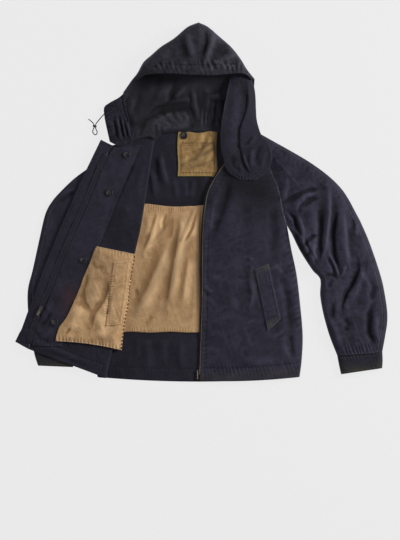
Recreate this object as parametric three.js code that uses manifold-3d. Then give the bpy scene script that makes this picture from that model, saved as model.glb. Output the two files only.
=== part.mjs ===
// A hooded raglan-sleeve jacket in heavy cotton cloth, laid flat on its back with its right front folded open.
// Millimetres, +Z up. The garment lies on the plane z = 0 with its hem towards -Y and its hood towards +Y.
// Plan positions are measured from the middle of the back hem, and the group at the end moves the
// origin under the middle of the whole garment. "Left" and "right" are the wearer's.
import * as THREE from "three";
import { mergeVertices } from "three/addons/utils/BufferGeometryUtils.js";
import Module from "manifold-3d";

const wasm = await Module();
wasm.setup();

// Driving dimensions of the garment
const CLOTH = 1.6; // one layer of shell cloth with its seam turnings pressed in
const KHAKI = 1.4; // one layer of the lighter khaki twill
const SEAM = 0.3; // clearance between two pieces that are sewn together
const LAP = CLOTH + SEAM; // rise of a piece that lies on a layer of shell cloth
const HALF_SEAM = 0.25; // sideways clearance of each edge at a butted seam
const HEM_HEIGHT = 39; // depth of the turned hem
const ORIGIN_SHIFT = { x: -7.85, y: -503 }; // moves the middle of the garment to the origin

const MATERIALS = {
  navy: new THREE.MeshStandardMaterial({ color: 0x24252e, roughness: 0.85, metalness: 0 }),
  khaki: new THREE.MeshStandardMaterial({ color: 0xb08c5c, roughness: 0.85, metalness: 0 }),
  label: new THREE.MeshStandardMaterial({ color: 0xb89050, roughness: 0.7, metalness: 0 }),
  tape: new THREE.MeshStandardMaterial({ color: 0x3a3634, roughness: 0.8, metalness: 0 }),
  brass: new THREE.MeshStandardMaterial({ color: 0x8f7a55, roughness: 0.4, metalness: 0.9 }),
  button: new THREE.MeshStandardMaterial({ color: 0x16171a, roughness: 0.35, metalness: 0 }),
  cord: new THREE.MeshStandardMaterial({ color: 0x2c2d33, roughness: 0.8, metalness: 0 }),
};

// Rows of numbers under named columns
function table(columns, rows) {
  const names = columns.split(" ");
  return rows.map((row) => Object.fromEntries(names.map((name, i) => [name, row[i]])));
}

// Every column of a table at a place t from 0 (first row) to 1 (last row), on smooth curves through the rows
function along(rows, t) {
  const last = rows.length - 1;
  const place = Math.min(last - 1e-9, Math.max(0, t * last));
  const i = Math.floor(place);
  const f = place - i;
  const at = (k) => rows[Math.min(last, Math.max(0, k))];
  const result = {};
  for (const name of Object.keys(rows[0])) {
    const [a, b, c, d] = [at(i - 1)[name], at(i)[name], at(i + 1)[name], at(i + 2)[name]];
    const slope = (c - a) * f;
    const square = (2 * a - 5 * b + 4 * c - d) * f * f;
    const cube = (3 * b - a - 3 * c + d) * f * f * f;
    result[name] = 0.5 * (2 * b + slope + square + cube);
  }
  return result;
}

const mix = (a, b, share) => a + (b - a) * share;
const clamp = (value) => Math.min(1, Math.max(0, value));
const smooth = (value) => clamp(value) ** 2 * (3 - 2 * clamp(value));
const steps = (count, from = 0, to = 1) =>
  Array.from({ length: count + 1 }, (_, i) => mix(from, to, i / count));

// Folds: each is a soft ridge (rise above 0) or trough (rise below 0) along a bent line in plan
const FOLD_COLUMNS = "fromX fromY viaX viaY toX toY width rise";

function distanceToSegment(x, y, ax, ay, bx, by) {
  const length2 = (bx - ax) ** 2 + (by - ay) ** 2;
  const share = clamp(((x - ax) * (bx - ax) + (y - ay) * (by - ay)) / length2);
  return Math.hypot(x - mix(ax, bx, share), y - mix(ay, by, share));
}

function relief(folds, x, y) {
  let height = 0;
  for (const f of folds) {
    const d = Math.min(
      distanceToSegment(x, y, f.fromX, f.fromY, f.viaX, f.viaY),
      distanceToSegment(x, y, f.viaX, f.viaY, f.toX, f.toY),
    );
    height += f.rise * Math.exp(-((d / f.width) ** 2));
  }
  return height;
}

// A closed wall of cloth between two grids of points: faces[i][j] on the outer face, backs[i][j] behind it
function wall(faces, backs) {
  const rows = faces.length;
  const columns = faces[0].length;
  const points = [...faces.flat(), ...backs.flat()];
  const at = (i, j, side) => side * rows * columns + i * columns + j;
  const triangles = [];
  const quad = (a, b, c, d) => triangles.push(a, b, c, a, c, d);
  for (let i = 0; i + 1 < rows; i++) {
    for (let j = 0; j + 1 < columns; j++) {
      quad(at(i, j, 0), at(i, j + 1, 0), at(i + 1, j + 1, 0), at(i + 1, j, 0));
      quad(at(i, j, 1), at(i + 1, j, 1), at(i + 1, j + 1, 1), at(i, j + 1, 1));
    }
    quad(at(i, 0, 0), at(i + 1, 0, 0), at(i + 1, 0, 1), at(i, 0, 1));
    quad(at(i, columns - 1, 1), at(i + 1, columns - 1, 1), at(i + 1, columns - 1, 0), at(i, columns - 1, 0));
  }
  for (let j = 0; j + 1 < columns; j++) {
    quad(at(0, j, 1), at(0, j + 1, 1), at(0, j + 1, 0), at(0, j, 0));
    quad(at(rows - 1, j, 0), at(rows - 1, j + 1, 0), at(rows - 1, j + 1, 1), at(rows - 1, j, 1));
  }
  return facingOut(points, triangles);
}

// A geometry from points and triangles, turned so that its faces point out
function facingOut(points, triangles) {
  let volume = 0;
  const cross = new THREE.Vector3();
  for (let i = 0; i < triangles.length; i += 3) {
    const [a, b, c] = [0, 1, 2].map((k) => points[triangles[i + k]]);
    volume += cross.crossVectors(b, c).dot(a);
  }
  if (volume < 0) triangles.reverse();
  const geometry = new THREE.BufferGeometry();
  geometry.setAttribute("position", new THREE.Float32BufferAttribute(points.flatMap((p) => p.toArray()), 3));
  geometry.setIndex(triangles);
  return geometry;
}

// A panel that lies as one layer: place(u, v) gives x, y and the height z of its underside
function panel(place, uStops, vStops, thickness, lift = 0) {
  const thick = typeof thickness === "function" ? thickness : () => thickness;
  const grid = (side) =>
    vStops.map((v) =>
      uStops.map((u) => {
        const { x, y, z } = place(u, v);
        return new THREE.Vector3(x, y, z + lift + side * thick(u, v));
      }),
    );
  return wall(grid(1), grid(0));
}

// Stops across a sheet that is rolled over at its outer fold: over the top from the near edge, round the
// fold, and back underneath. "turn" is the angle round a fold, and "share" the place on a flat stretch.
const TOP = 1;
const UNDER = -1;
const RIGHT_ANGLE = Math.PI / 2;
const nearTurns = (side, angles) => angles.map((turn) => ({ side, part: "near", turn }));
const flats = (side, shares) => shares.map((share) => ({ side, part: "flat", share }));
const farTurns = (side, angles) => angles.map((turn) => ({ side, part: "far", turn }));

// One point of a rolled sheet's outer face, and the way its thickness goes.
// A section runs from (nearX, nearY) to (farX, farY) on top and back to (backX, backY) underneath.
// nearZ, crown and floor are heights, mid is the height of the fold's middle, closed is 1 where the
// near edge is rolled down to the seam, and radius and nearRadius are the widths of the two rolls.
function rolledPoint(section, stop, folds) {
  const top = stop.side === TOP;
  const edgeX = top ? section.nearX : section.backX;
  const edgeY = top ? section.nearY : section.backY;
  const width = Math.hypot(section.farX - edgeX, section.farY - edgeY);
  const out = new THREE.Vector3((section.farX - edgeX) / width, (section.farY - edgeY) / width, 0);
  const radius = Math.min(top ? section.radius : section.underRadius, width * 0.42);
  const nearRadius = Math.min(section.nearRadius, width * 0.42) * section.closed;
  const distance = {
    near: () => nearRadius * (1 - Math.cos(stop.turn)),
    flat: () => mix(nearRadius, width - radius, stop.share),
    far: () => width - radius * (1 - Math.cos(stop.turn)),
  }[stop.part]();
  const x = edgeX + out.x * distance;
  const y = edgeY + out.y * distance;
  const rise = stop.part === "flat" ? 1 : Math.sin(stop.turn);
  const reach = stop.part === "flat" ? 0 : Math.cos(stop.turn);
  const outward = stop.part === "near" ? -section.closed : 1;
  const shareOut = distance / width;
  const spare = SEAM / 2 + CLOTH * Math.sqrt(1 - section.closed ** 2);
  let z;
  if (top) {
    const surface = mix(section.nearZ, section.crown, smooth(shareOut / 0.35)) + relief(folds, x, y);
    const start = section.mid + spare;
    z = stop.part === "near" ? mix(surface, mix(start, surface, rise), section.closed) : surface;
    if (stop.part === "far") z = mix(section.mid, surface, rise);
  } else {
    const surface = Math.max(0, mix(section.backZ, section.floor, smooth(shareOut / section.backShare)));
    const start = section.mid - spare;
    z = stop.part === "near" ? mix(surface, mix(start, surface, rise), section.closed) : surface;
    if (stop.part === "far") z = mix(section.mid, surface, rise);
  }
  const lean = stop.part === "near" ? reach * section.closed : reach;
  const inward = out.clone().multiplyScalar(-outward * lean);
  inward.z = -stop.side * Math.sqrt(Math.max(0, 1 - lean * lean));
  return { point: new THREE.Vector3(x, y, z), inward: inward.normalize() };
}

function rolledSheet(sections, stops, folds, thickness) {
  const thick = typeof thickness === "function" ? thickness : () => thickness;
  const faces = [];
  const backs = [];
  sections.forEach((section) => {
    const made = stops.map((stop) => rolledPoint(section, stop, folds));
    faces.push(made.map(({ point }) => point));
    backs.push(
      made.map(({ point, inward }, j) => point.clone().addScaledVector(inward, thick(stops[j], section))),
    );
  });
  return wall(faces, backs);
}

// Joins and cuts
function solid(geometry) {
  const bare = geometry.clone();
  for (const name of Object.keys(bare.attributes)) if (name !== "position") bare.deleteAttribute(name);
  const merged = mergeVertices(bare, 1e-4);
  return new wasm.Manifold(
    new wasm.Mesh({
      numProp: 3,
      vertProperties: new Float32Array(merged.attributes.position.array),
      triVerts: new Uint32Array(merged.index.array),
    }),
  );
}

function geometryOf(manifold) {
  const mesh = manifold.getMesh();
  const geometry = new THREE.BufferGeometry();
  geometry.setAttribute("position", new THREE.BufferAttribute(new Float32Array(mesh.vertProperties), 3));
  geometry.setIndex(new THREE.BufferAttribute(new Uint32Array(mesh.triVerts), 1));
  return geometry;
}

// The upright prism over an outline in plan, which trims a layer to its shape
const PRISM_DEPTH = 400;
function prism(outline) {
  const shape = new THREE.Shape(outline.map(([x, y]) => new THREE.Vector2(x, y)));
  const geometry = new THREE.ExtrudeGeometry(shape, { depth: PRISM_DEPTH, bevelEnabled: false });
  return geometry.translate(0, 0, -PRISM_DEPTH / 2);
}

function trimmed(layer, outline) {
  return geometryOf(solid(layer).intersect(solid(prism(outline))));
}

function smoothOutline(points, perSpan = 4) {
  const curve = new THREE.CatmullRomCurve3(points.map(([x, y]) => new THREE.Vector3(x, y, 0)));
  return curve.getPoints((points.length - 1) * perSpan).map((p) => [p.x, p.y]);
}

// Fewer triangles where cloth lies flat, within a small part of its thickness
const FLAT_WITHIN = 0.06;
const garment = new THREE.Group();
garment.name = "garment";
function add(name, geometry, material, parent = garment) {
  const mesh = new THREE.Mesh(geometryOf(solid(geometry).simplify(FLAT_WITHIN)), MATERIALS[material]);
  mesh.name = name;
  parent.add(mesh);
  return mesh;
}

// The curves that the pieces share. Each runs up from the hem or from the underarm.
const SIDE_SEAM = table("x y", [
  [283, 14],
  [289, 60],
  [292, 130],
  [285, 216],
  [275, 300],
  [260, 372],
  [248, 437],
]);
const RAGLAN_SEAM = table("x y", [
  [248, 437],
  [237, 470],
  [229, 512],
  [221, 545],
  [208, 575],
  [196, 603],
  [182, 630],
  [163, 652],
  [140, 672],
]);
const SIDE_STEPS = 11;
const RAGLAN_STEPS = 9;

// Back: one flat panel, with soft folds where its inside shows below the neck
const BACK_NECK = { halfWidth: 112, y: 694, rise: 9 };
const BACK_FOLDS = table(FOLD_COLUMNS, [
  [-107, 640, -100, 595, -86, 548, 11, 6],
]);
const PANEL_CLEAR = { from: 502, to: 528 };

function backEdge(v) {
  if (v <= 1) return along(SIDE_SEAM, v);
  if (v <= 2) return along(RAGLAN_SEAM, v - 1);
  return { x: BACK_NECK.halfWidth, y: BACK_NECK.y };
}

function backPlace(u, v) {
  const edge = backEdge(v);
  const side = 2 * u - 1;
  const bow = v <= 1 ? -13 * (1 - v) ** 6 : BACK_NECK.rise * Math.max(0, v - 2);
  const x = side * (edge.x - HALF_SEAM);
  const y = edge.y + bow * (1 - side * side);
  const clear = smooth((y - PANEL_CLEAR.from) / (PANEL_CLEAR.to - PANEL_CLEAR.from));
  return { x, y, z: relief(BACK_FOLDS, x, y) * clear };
}

const BACK_ROWS = [...steps(SIDE_STEPS), ...steps(RAGLAN_STEPS, 1, 2).slice(1), 3];
const BACK_COLUMNS = [0, 0.07, ...steps(11, 0.12, 0.5), 0.65, 0.85, 1];
add("back", panel(backPlace, BACK_COLUMNS, BACK_ROWS, CLOTH), "navy");

// Khaki panel sewn across the inside of the back, with long soft folds in its open middle
const KHAKI_PANEL = { halfWidth: 215, top: 496, bottom: 139 };
const KHAKI_FOLDS = table(FOLD_COLUMNS, [
  [-110, 476, -126, 425, -149, 363, 11, 5],
  [-78, 384, -112, 305, -172, 185, 19, 7],
  [-42, 474, -60, 345, -80, 225, 14, 8],
  [-20, 352, -30, 290, -42, 205, 13, 4.5],
  [-4, 480, -22, 425, -42, 391, 9, 2.5],
]);

function khakiPlace(u, v) {
  const x = mix(-KHAKI_PANEL.halfWidth, KHAKI_PANEL.halfWidth, u);
  const y = mix(KHAKI_PANEL.bottom, KHAKI_PANEL.top, v) + 5 * Math.sin(x / 38) * v;
  const slack = Math.sin(Math.PI * clamp(v * 1.04)) ** 0.5;
  const open = smooth((6 - x) / 16);
  return { x, y, z: LAP + Math.max(0, relief(KHAKI_FOLDS, x, y)) * slack * open };
}
const khakiStops = [...steps(2, 0, 0.13), ...steps(13, 0.16, 0.5), ...steps(2, 0.6, 1)];
add("back_khaki_panel", panel(khakiPlace, khakiStops, steps(9), KHAKI), "khaki");

// Left front: one layer from the zip edge to the side and raglan seams
const LEFT_FRONT_SIDE = table("x y z", [
  [3, 3, 4.6],
  [6, 60, 5],
  [9, 146, 5.6],
  [12, 230, 6],
  [12, 314, 6],
  [13, 400, 7.4],
  [16, 460, 8],
]);
const LEFT_FRONT_RAGLAN = table("x y z", [
  [16, 460, 8],
  [26, 525, 8.2],
  [46, 568, 8],
  [66, 598, 7.6],
  [80, 617, 7.6],
  [96, 634, 7.4],
  [113, 650, 7],
]);
const FRONT_CROWN = 9;
const SIDE_ROLL = 34;
const LEFT_FRONT_FOLDS = table(FOLD_COLUMNS, [
  [71, 592, 60, 500, 44, 436, 13, -2.6],
  [98, 560, 92, 480, 80, 400, 22, 2.5],
  [175, 540, 165, 430, 150, 330, 26, 2.5],
  [205, 500, 212, 420, 205, 330, 16, -3],
  [135, 360, 137, 300, 134, 235, 10, -3],
  [236, 300, 250, 220, 258, 150, 18, -3],
  [120, 60, 160, 45, 215, 60, 14, 2],
]);

function frontPlace(u, v, seamX, zipEdge) {
  const raised = v <= 1;
  const near = raised ? along(zipEdge[0], v) : along(zipEdge[1], v - 1);
  const seam = raised ? along(SIDE_SEAM, v) : along(RAGLAN_SEAM, v - 1);
  const far = { x: seamX * (seam.x - HALF_SEAM), y: seam.y };
  const x = mix(near.x, far.x, u);
  const sag = v <= 1 ? -5 * (1 - v) ** 8 : 0;
  const y = mix(near.y, far.y, u) + sag * Math.sin(Math.PI * u);
  const crown = mix(near.z, FRONT_CROWN, smooth(u / 0.3)) + relief(LEFT_FRONT_FOLDS, x, y);
  const inset = Math.min(1, ((1 - u) * Math.hypot(far.x - near.x, far.y - near.y)) / SIDE_ROLL);
  const rolled = LAP + (crown - LAP) * Math.sqrt(1 - (1 - inset) ** 2);
  return { x, y, z: Math.max(4.2 * Math.min(1, 1.6 * inset + (v > 1 ? 1 : 0)) , mix(rolled, crown, smooth((v - 0.82) / 0.3))) };
}
const leftFrontPlace = (u, v) => frontPlace(u, v, 1, [LEFT_FRONT_SIDE, LEFT_FRONT_RAGLAN]);
const FRONT_ROWS = [0, 0.055, ...steps(SIDE_STEPS).slice(2), ...steps(RAGLAN_STEPS, 1, 2).slice(1)];
const FRONT_COLUMNS = [...steps(10, 0, 0.86), 0.92, 0.97, 1];
add("left_front", panel(leftFrontPlace, FRONT_COLUMNS, FRONT_ROWS, CLOTH), "navy");

// Welt of the slanted hand pocket, sewn on the left front
const WELT_OUTLINE = [
  [157, 312],
  [196, 327],
  [231, 174],
  [195, 146],
];
const fineFront = panel(leftFrontPlace, FRONT_COLUMNS, FRONT_ROWS, KHAKI, LAP);
add("left_pocket_welt", trimmed(fineFront, WELT_OUTLINE), "navy");

// Sleeves: each section crosses the sleeve from the raglan or underarm seam to the outer fold
const SLEEVE_SHOULDER = table("farX farY crown", [
  [452, 452, 19],
  [437, 480, 19],
  [421, 510, 19],
  [400, 541, 18],
  [366, 575, 17],
  [318, 611, 15],
  [265, 643, 13],
  [206, 676, 11],
  [158, 703, 9],
]);
const LEFT_ARM = table("nearX nearY farX farY crown", [
  [248, 437, 452, 452, 19],
  [262, 412, 474, 402, 20],
  [284, 367, 494, 347, 21],
  [318, 314, 512, 290, 21],
  [340, 288, 521, 248, 20],
  [340, 244, 528, 200, 19],
  [347, 200, 528, 165, 18],
  [357, 160, 523, 132, 17],
  [369, 122, 518, 104, 16],
  [388, 74, 514, 83, 15],
]);
const RIGHT_SHOULDER = table("farX farY crown", [
  [-434, 452, 9.6],
  [-425, 480, 9.6],
  [-408, 508, 9.6],
  [-385, 534, 9.4],
  [-346, 571, 9.2],
  [-300, 604, 9],
  [-254, 634, 8.6],
  [-204, 668, 8.4],
  [-158, 703, 8],
]);
const RIGHT_ARM = table("nearX nearY farX farY crown", [
  [-248, 437, -434, 452, 9.6],
  [-262, 390, -448, 388, 9.6],
  [-278, 330, -464, 315, 9.6],
  [-292, 270, -477, 262, 9.6],
  [-306, 215, -478, 212, 9.6],
  [-322, 155, -472, 150, 9.6],
  [-342, 92, -464, 96, 9.6],
]);
const LEFT_SLEEVE_FOLDS = table(FOLD_COLUMNS, [
  [206, 634, 256, 588, 290, 548, 13, 3],
  [240, 595, 252, 550, 238, 512, 13, 2],
  [237, 492, 275, 516, 338, 546, 15, -6],
  [282, 490, 305, 508, 345, 524, 13, 3],
  [340, 505, 346, 440, 334, 340, 15, -7],
  [369, 540, 361, 460, 350, 350, 14, 3.5],
  [380, 475, 378, 400, 397, 302, 14, -7.5],
  [408, 480, 413, 390, 423, 310, 15, 4],
  [446, 356, 444, 310, 404, 190, 16, -7.5],
  [256, 478, 276, 432, 293, 392, 12, -4.5],
  [296, 384, 315, 404, 340, 400, 12, -3.5],
  [482, 240, 471, 180, 488, 104, 18, -5.5],
  [430, 512, 434, 470, 436, 436, 13, -2.5],
  [456, 270, 446, 190, 442, 110, 18, 3],
]);

const ROLLS = { closed: 0, radius: 44, underRadius: 9, nearRadius: 20, floor: 0, backZ: 0, backShare: 0.3, mid: 5 };
function shoulderSection(shoulder, v, side) {
  const seam = along(RAGLAN_SEAM, v);
  const far = along(shoulder, v);
  const near = { nearX: side * (seam.x + HALF_SEAM), nearY: seam.y };
  return { ...ROLLS, ...far, ...near, backX: near.nearX, backY: near.nearY, nearZ: mix(7, FRONT_CROWN, 0.5) + CLOTH };
}

function armSection(arm, v, shift) {
  const row = along(arm, v);
  const nearX = row.nearX + shift;
  const closed = smooth(v / 0.12);
  const nearZ = mix(mix(7, FRONT_CROWN, 0.5) + CLOTH, row.crown, closed);
  return { ...ROLLS, ...row, nearX, backX: nearX, backY: row.nearY, closed, nearZ };
}

function sleeveSections(shoulder, arm, side, armSteps) {
  return [
    ...steps(RAGLAN_STEPS, 1, 0).map((v) => shoulderSection(shoulder, v, side)),
    ...steps(armSteps).slice(1).map((v) => armSection(arm, v, side * HALF_SEAM)),
  ];
}

// The overarm seam lies on top, just inside the outer fold
const degrees = (value) => (value * Math.PI) / 180;
const OVERARM_FRONT = degrees(46);
const OVERARM_BACK = degrees(44.5);
const frontHalfStops = (flatCount) => [
  ...nearTurns(TOP, steps(3, 0, RIGHT_ANGLE)),
  ...flats(TOP, steps(flatCount).slice(1)),
  ...farTurns(TOP, [degrees(70), OVERARM_FRONT]),
];
const backHalfStops = (flatCount) => [
  ...farTurns(TOP, [OVERARM_BACK, degrees(24), 0]),
  ...farTurns(UNDER, [degrees(35), degrees(65), RIGHT_ANGLE]),
  ...flats(UNDER, steps(flatCount, 1, 0).slice(1)),
  ...nearTurns(UNDER, [degrees(50), 0]),
];

const LEFT_ARM_STEPS = 22;
const RIGHT_ARM_STEPS = 9;
const leftSections = sleeveSections(SLEEVE_SHOULDER, LEFT_ARM, 1, LEFT_ARM_STEPS);
const rightSections = sleeveSections(RIGHT_SHOULDER, RIGHT_ARM, -1, RIGHT_ARM_STEPS);
add("left_sleeve_front", rolledSheet(leftSections, frontHalfStops(13), LEFT_SLEEVE_FOLDS, CLOTH), "navy");
add("left_sleeve_back", rolledSheet(leftSections, backHalfStops(4), LEFT_SLEEVE_FOLDS, CLOTH), "navy");
add("right_sleeve_front", rolledSheet(rightSections, frontHalfStops(6), [], CLOTH), "navy");
add("right_sleeve_back", rolledSheet(rightSections, backHalfStops(4), [], CLOTH), "navy");

// Cuffs: flattened bands of doubled cloth, butted to the sleeve ends
const CUFF_CLOTH = 2.2;
const LEFT_CUFF = table("nearX nearY farX farY crown", [
  [388.2, 73.2, 514.4, 82.2, 14],
  [393, 48, 515.5, 60, 12.5],
  [399, 22, 514, 39, 12],
]);
const RIGHT_CUFF = table("nearX nearY farX farY crown", [
  [-342, 91.2, -464, 95.2, 10],
  [-346, 66, -457, 70, 10.6],
  [-351, 42, -449, 46, 10.6],
]);

function cuffBand(rows, folds) {
  const outer = [];
  const inner = [];
  for (const v of steps(4)) {
    const row = along(rows, v);
    const section = { ...ROLLS, ...row, backX: row.nearX, backY: row.nearY, closed: 1, nearZ: row.crown, radius: 16, nearRadius: 16 };
    const stops = [
      ...nearTurns(TOP, steps(3, 0, RIGHT_ANGLE)),
      ...flats(TOP, steps(8).slice(1)),
      ...farTurns(TOP, [degrees(60), degrees(30), 0]),
      ...farTurns(UNDER, [degrees(35), degrees(65), RIGHT_ANGLE]),
      ...flats(UNDER, steps(3, 1, 0).slice(1)),
      ...nearTurns(UNDER, [degrees(50), degrees(20)]),
    ];
    const made = stops.map((stop) => rolledPoint(section, stop, folds));
    outer.push(made.map(({ point }) => point));
    inner.push(made.map(({ point, inward }) => point.clone().addScaledVector(inward, CUFF_CLOTH)));
  }
  return ring(outer, inner);
}

// A closed band: like a wall, with its last column joined to its first
function ring(outer, inner) {
  const rows = outer.length;
  const columns = outer[0].length;
  const points = [...outer.flat(), ...inner.flat()];
  const at = (i, j, side) => side * rows * columns + i * columns + (j % columns);
  const triangles = [];
  const quad = (a, b, c, d) => triangles.push(a, b, c, a, c, d);
  for (let j = 0; j < columns; j++) {
    for (let i = 0; i + 1 < rows; i++) {
      quad(at(i, j, 0), at(i, j + 1, 0), at(i + 1, j + 1, 0), at(i + 1, j, 0));
      quad(at(i, j, 1), at(i + 1, j, 1), at(i + 1, j + 1, 1), at(i, j + 1, 1));
    }
    quad(at(0, j, 1), at(0, j + 1, 1), at(0, j + 1, 0), at(0, j, 0));
    quad(at(rows - 1, j, 0), at(rows - 1, j + 1, 0), at(rows - 1, j + 1, 1), at(rows - 1, j, 1));
  }
  return facingOut(points, triangles);
}
add("left_cuff", cuffBand(LEFT_CUFF, []), "navy");
add("right_cuff", cuffBand(RIGHT_CUFF, []), "navy");

// Right front: it leaves its side seam on top of the back, rolls over at its fold and lies back,
// inside up, across the right sleeve as far as the zip line
const FOLD_ROLL = 5.5;
const RIGHT_FRONT = table("nearX nearY farX farY backX backY nearZ crown backZ", [
  [-474, 92, -258, 11, -279, 13, 12.4, 13.4, 1.9],
  [-469, 122, -252, 44, -284, 44, 13, 13.4, 1.9],
  [-461, 150, -242, 86, -289, 84, 13.2, 13.4, 1.9],
  [-440, 204, -222, 160, -289, 150, 13.6, 13.6, 1.9],
  [-415, 262, -203, 250, -283, 216, 13.8, 13.6, 1.9],
  [-392, 325, -186, 325, -273, 300, 14, 13.8, 1.9],
  [-367, 385, -172, 385, -258, 372, 14, 13.8, 2.4],
  [-343, 440, -160, 440, -246, 437, 14, 13.8, 3.2],
  [-315, 502, -150, 502, -227, 510, 14, 13.8, 5],
  [-291, 560, -141, 560, -206, 572, 14, 13.8, 5.5],
  [-268, 616, -132, 622, -180, 628, 14, 13.8, 5.5],
  [-241, 662, -121, 693, -141, 665, 14, 13.8, 5.5],
]);
const RIGHT_FRONT_FOLDS = table(FOLD_COLUMNS, [
  [-171, 640, -192, 595, -220, 515, 10, -1.8],
  [-239, 505, -251, 448, -264, 400, 14, -1.6],
  [-190, 520, -205, 460, -215, 410, 16, 2],
  [-300, 560, -330, 490, -360, 420, 16, 2],
  [-400, 150, -430, 125, -455, 118, 12, 2],
  [-330, 60, -380, 80, -440, 105, 14, 2.5],
]);

function rightFrontSection(v) {
  const row = along(RIGHT_FRONT, v);
  return {
    ...row,
    closed: 0,
    radius: FOLD_ROLL,
    underRadius: FOLD_ROLL,
    nearRadius: 0,
    floor: 4.4,
    backShare: 0.4,
    mid: 9.2,
  };
}
const RIGHT_ROWS = steps(18);
const rightTopStops = (from, to, count) => flats(TOP, steps(count, from, to));
const rightFrontStops = [
  ...rightTopStops(0, 1, 12),
  ...farTurns(TOP, [degrees(50), 0]),
  ...farTurns(UNDER, [degrees(50), RIGHT_ANGLE]),
  ...flats(UNDER, steps(5, 1, 0).slice(1)),
];
add("right_front", rolledSheet(RIGHT_ROWS.map(rightFrontSection), rightFrontStops, RIGHT_FRONT_FOLDS, CLOTH), "navy");

// A layer that lies on the folded-back right front, made from its points moved up. "past" lists
// distances beyond the flat stretch, where a loose layer hangs over the fold and sinks to the back.
const rightStops = rightTopStops(0, 1, 12);
const HANG = { from: 3, to: 30, drop: 9 };
const HANG_STOPS = [5, 10, 15, 20, 25, 31, 38];
function onRightFront(lift, thickness, past = []) {
  const grid = (height) =>
    RIGHT_ROWS.map((v) => {
      const section = rightFrontSection(v);
      const flat = rightStops.map((stop) => rolledPoint(section, stop, RIGHT_FRONT_FOLDS).point);
      const end = flat[flat.length - 1];
      const across = new THREE.Vector3(section.farX - section.nearX, section.farY - section.nearY, 0);
      const hanging = past.map((distance) => {
        const sunk = HANG.drop * smooth((distance - HANG.from) / (HANG.to - HANG.from));
        return end.clone().addScaledVector(across.clone().normalize(), distance).setZ(end.z - sunk);
      });
      return [...flat, ...hanging].map((point) => point.setZ(point.z + height));
    });
  return wall(grid(lift + thickness), grid(lift));
}

// Fly flap: the strip beyond the zip line that covers the closed zip
const FLY_WIDTH = 39;
const flyOuter = table("x y z", [
  [-513, 113, 3],
  [-501, 138, 5],
  [-494, 151, 7],
  [-475, 203, 10.6],
  [-452, 262, 11.6],
  [-430, 325, 12],
  [-405, 385, 12.2],
  [-383, 440, 12.2],
  [-355, 502, 12.2],
  [-329, 562, 12.2],
  [-302, 618, 12.2],
  [-273, 678, 12.2],
]);

function flyPlace(u, v) {
  const inner = along(RIGHT_FRONT, v);
  const outer = along(flyOuter, v);
  const x = mix(outer.x, inner.nearX - HALF_SEAM, u);
  const y = mix(outer.y, inner.nearY, u);
  const surface = inner.nearZ - CLOTH + relief(RIGHT_FRONT_FOLDS, inner.nearX, inner.nearY);
  return { x, y, z: mix(outer.z, surface, smooth(u * 1.3)) };
}
const FLY_CLOTH = 2.2;
add("right_fly_flap", panel(flyPlace, steps(3), RIGHT_ROWS, FLY_CLOTH), "navy");

// Facing: the doubled strip that carries the liner buttons
const FACING_INNER = [
  [-158, 664],
  [-171, 640],
  [-192, 595],
  [-206, 558],
  [-224, 515],
  [-250, 450],
  [-277, 385],
  [-301, 325],
  [-325, 262],
  [-349, 202],
  [-367, 150],
  [-377, 122],
  [-381, 100],
];
const FACING_BOTTOM = 96;
const facingOutline = [
  ...RIGHT_ROWS.map((v) => {
    const { nearX, nearY } = along(RIGHT_FRONT, v);
    return [nearX + 7, nearY];
  }).filter(([, y]) => y > FACING_BOTTOM + 4 && y < 655),
  [-236, 657],
  ...FACING_INNER,
];
add("right_front_facing", trimmed(onRightFront(SEAM, 1.2), facingOutline), "navy");

// Khaki pocket bag inside the right front, and its welt. The bag is wider than the flat part of the
// front, and its loose edge hangs over the fold onto the khaki panel.
const POCKET_EDGE = smoothOutline([
  [-285, 379],
  [-304, 333],
  [-321, 294],
  [-346, 230],
  [-368, 183],
  [-390, 152],
  [-398, 128],
]);
const POCKET_FREE_EDGE = smoothOutline([
  [-215, 89],
  [-209, 140],
  [-203, 181],
  [-196, 215],
  [-189, 280],
  [-181, 330],
  [-177, 358],
]);
const POCKET_BAG = [...POCKET_EDGE, [-399, 118], [-342, 111], [-268, 103], [-240, 96], ...POCKET_FREE_EDGE];
const POCKET_LIFT = SEAM + 1.2 + SEAM;
const POCKET_WELT = [
  [-237, 336],
  [-190, 341],
  [-215, 161],
  [-258, 157],
];
add("right_khaki_pocket", trimmed(onRightFront(POCKET_LIFT, KHAKI, HANG_STOPS), POCKET_BAG), "khaki");
add("right_khaki_welt", trimmed(onRightFront(POCKET_LIFT + KHAKI + SEAM, KHAKI, HANG_STOPS), POCKET_WELT), "khaki");

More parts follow.
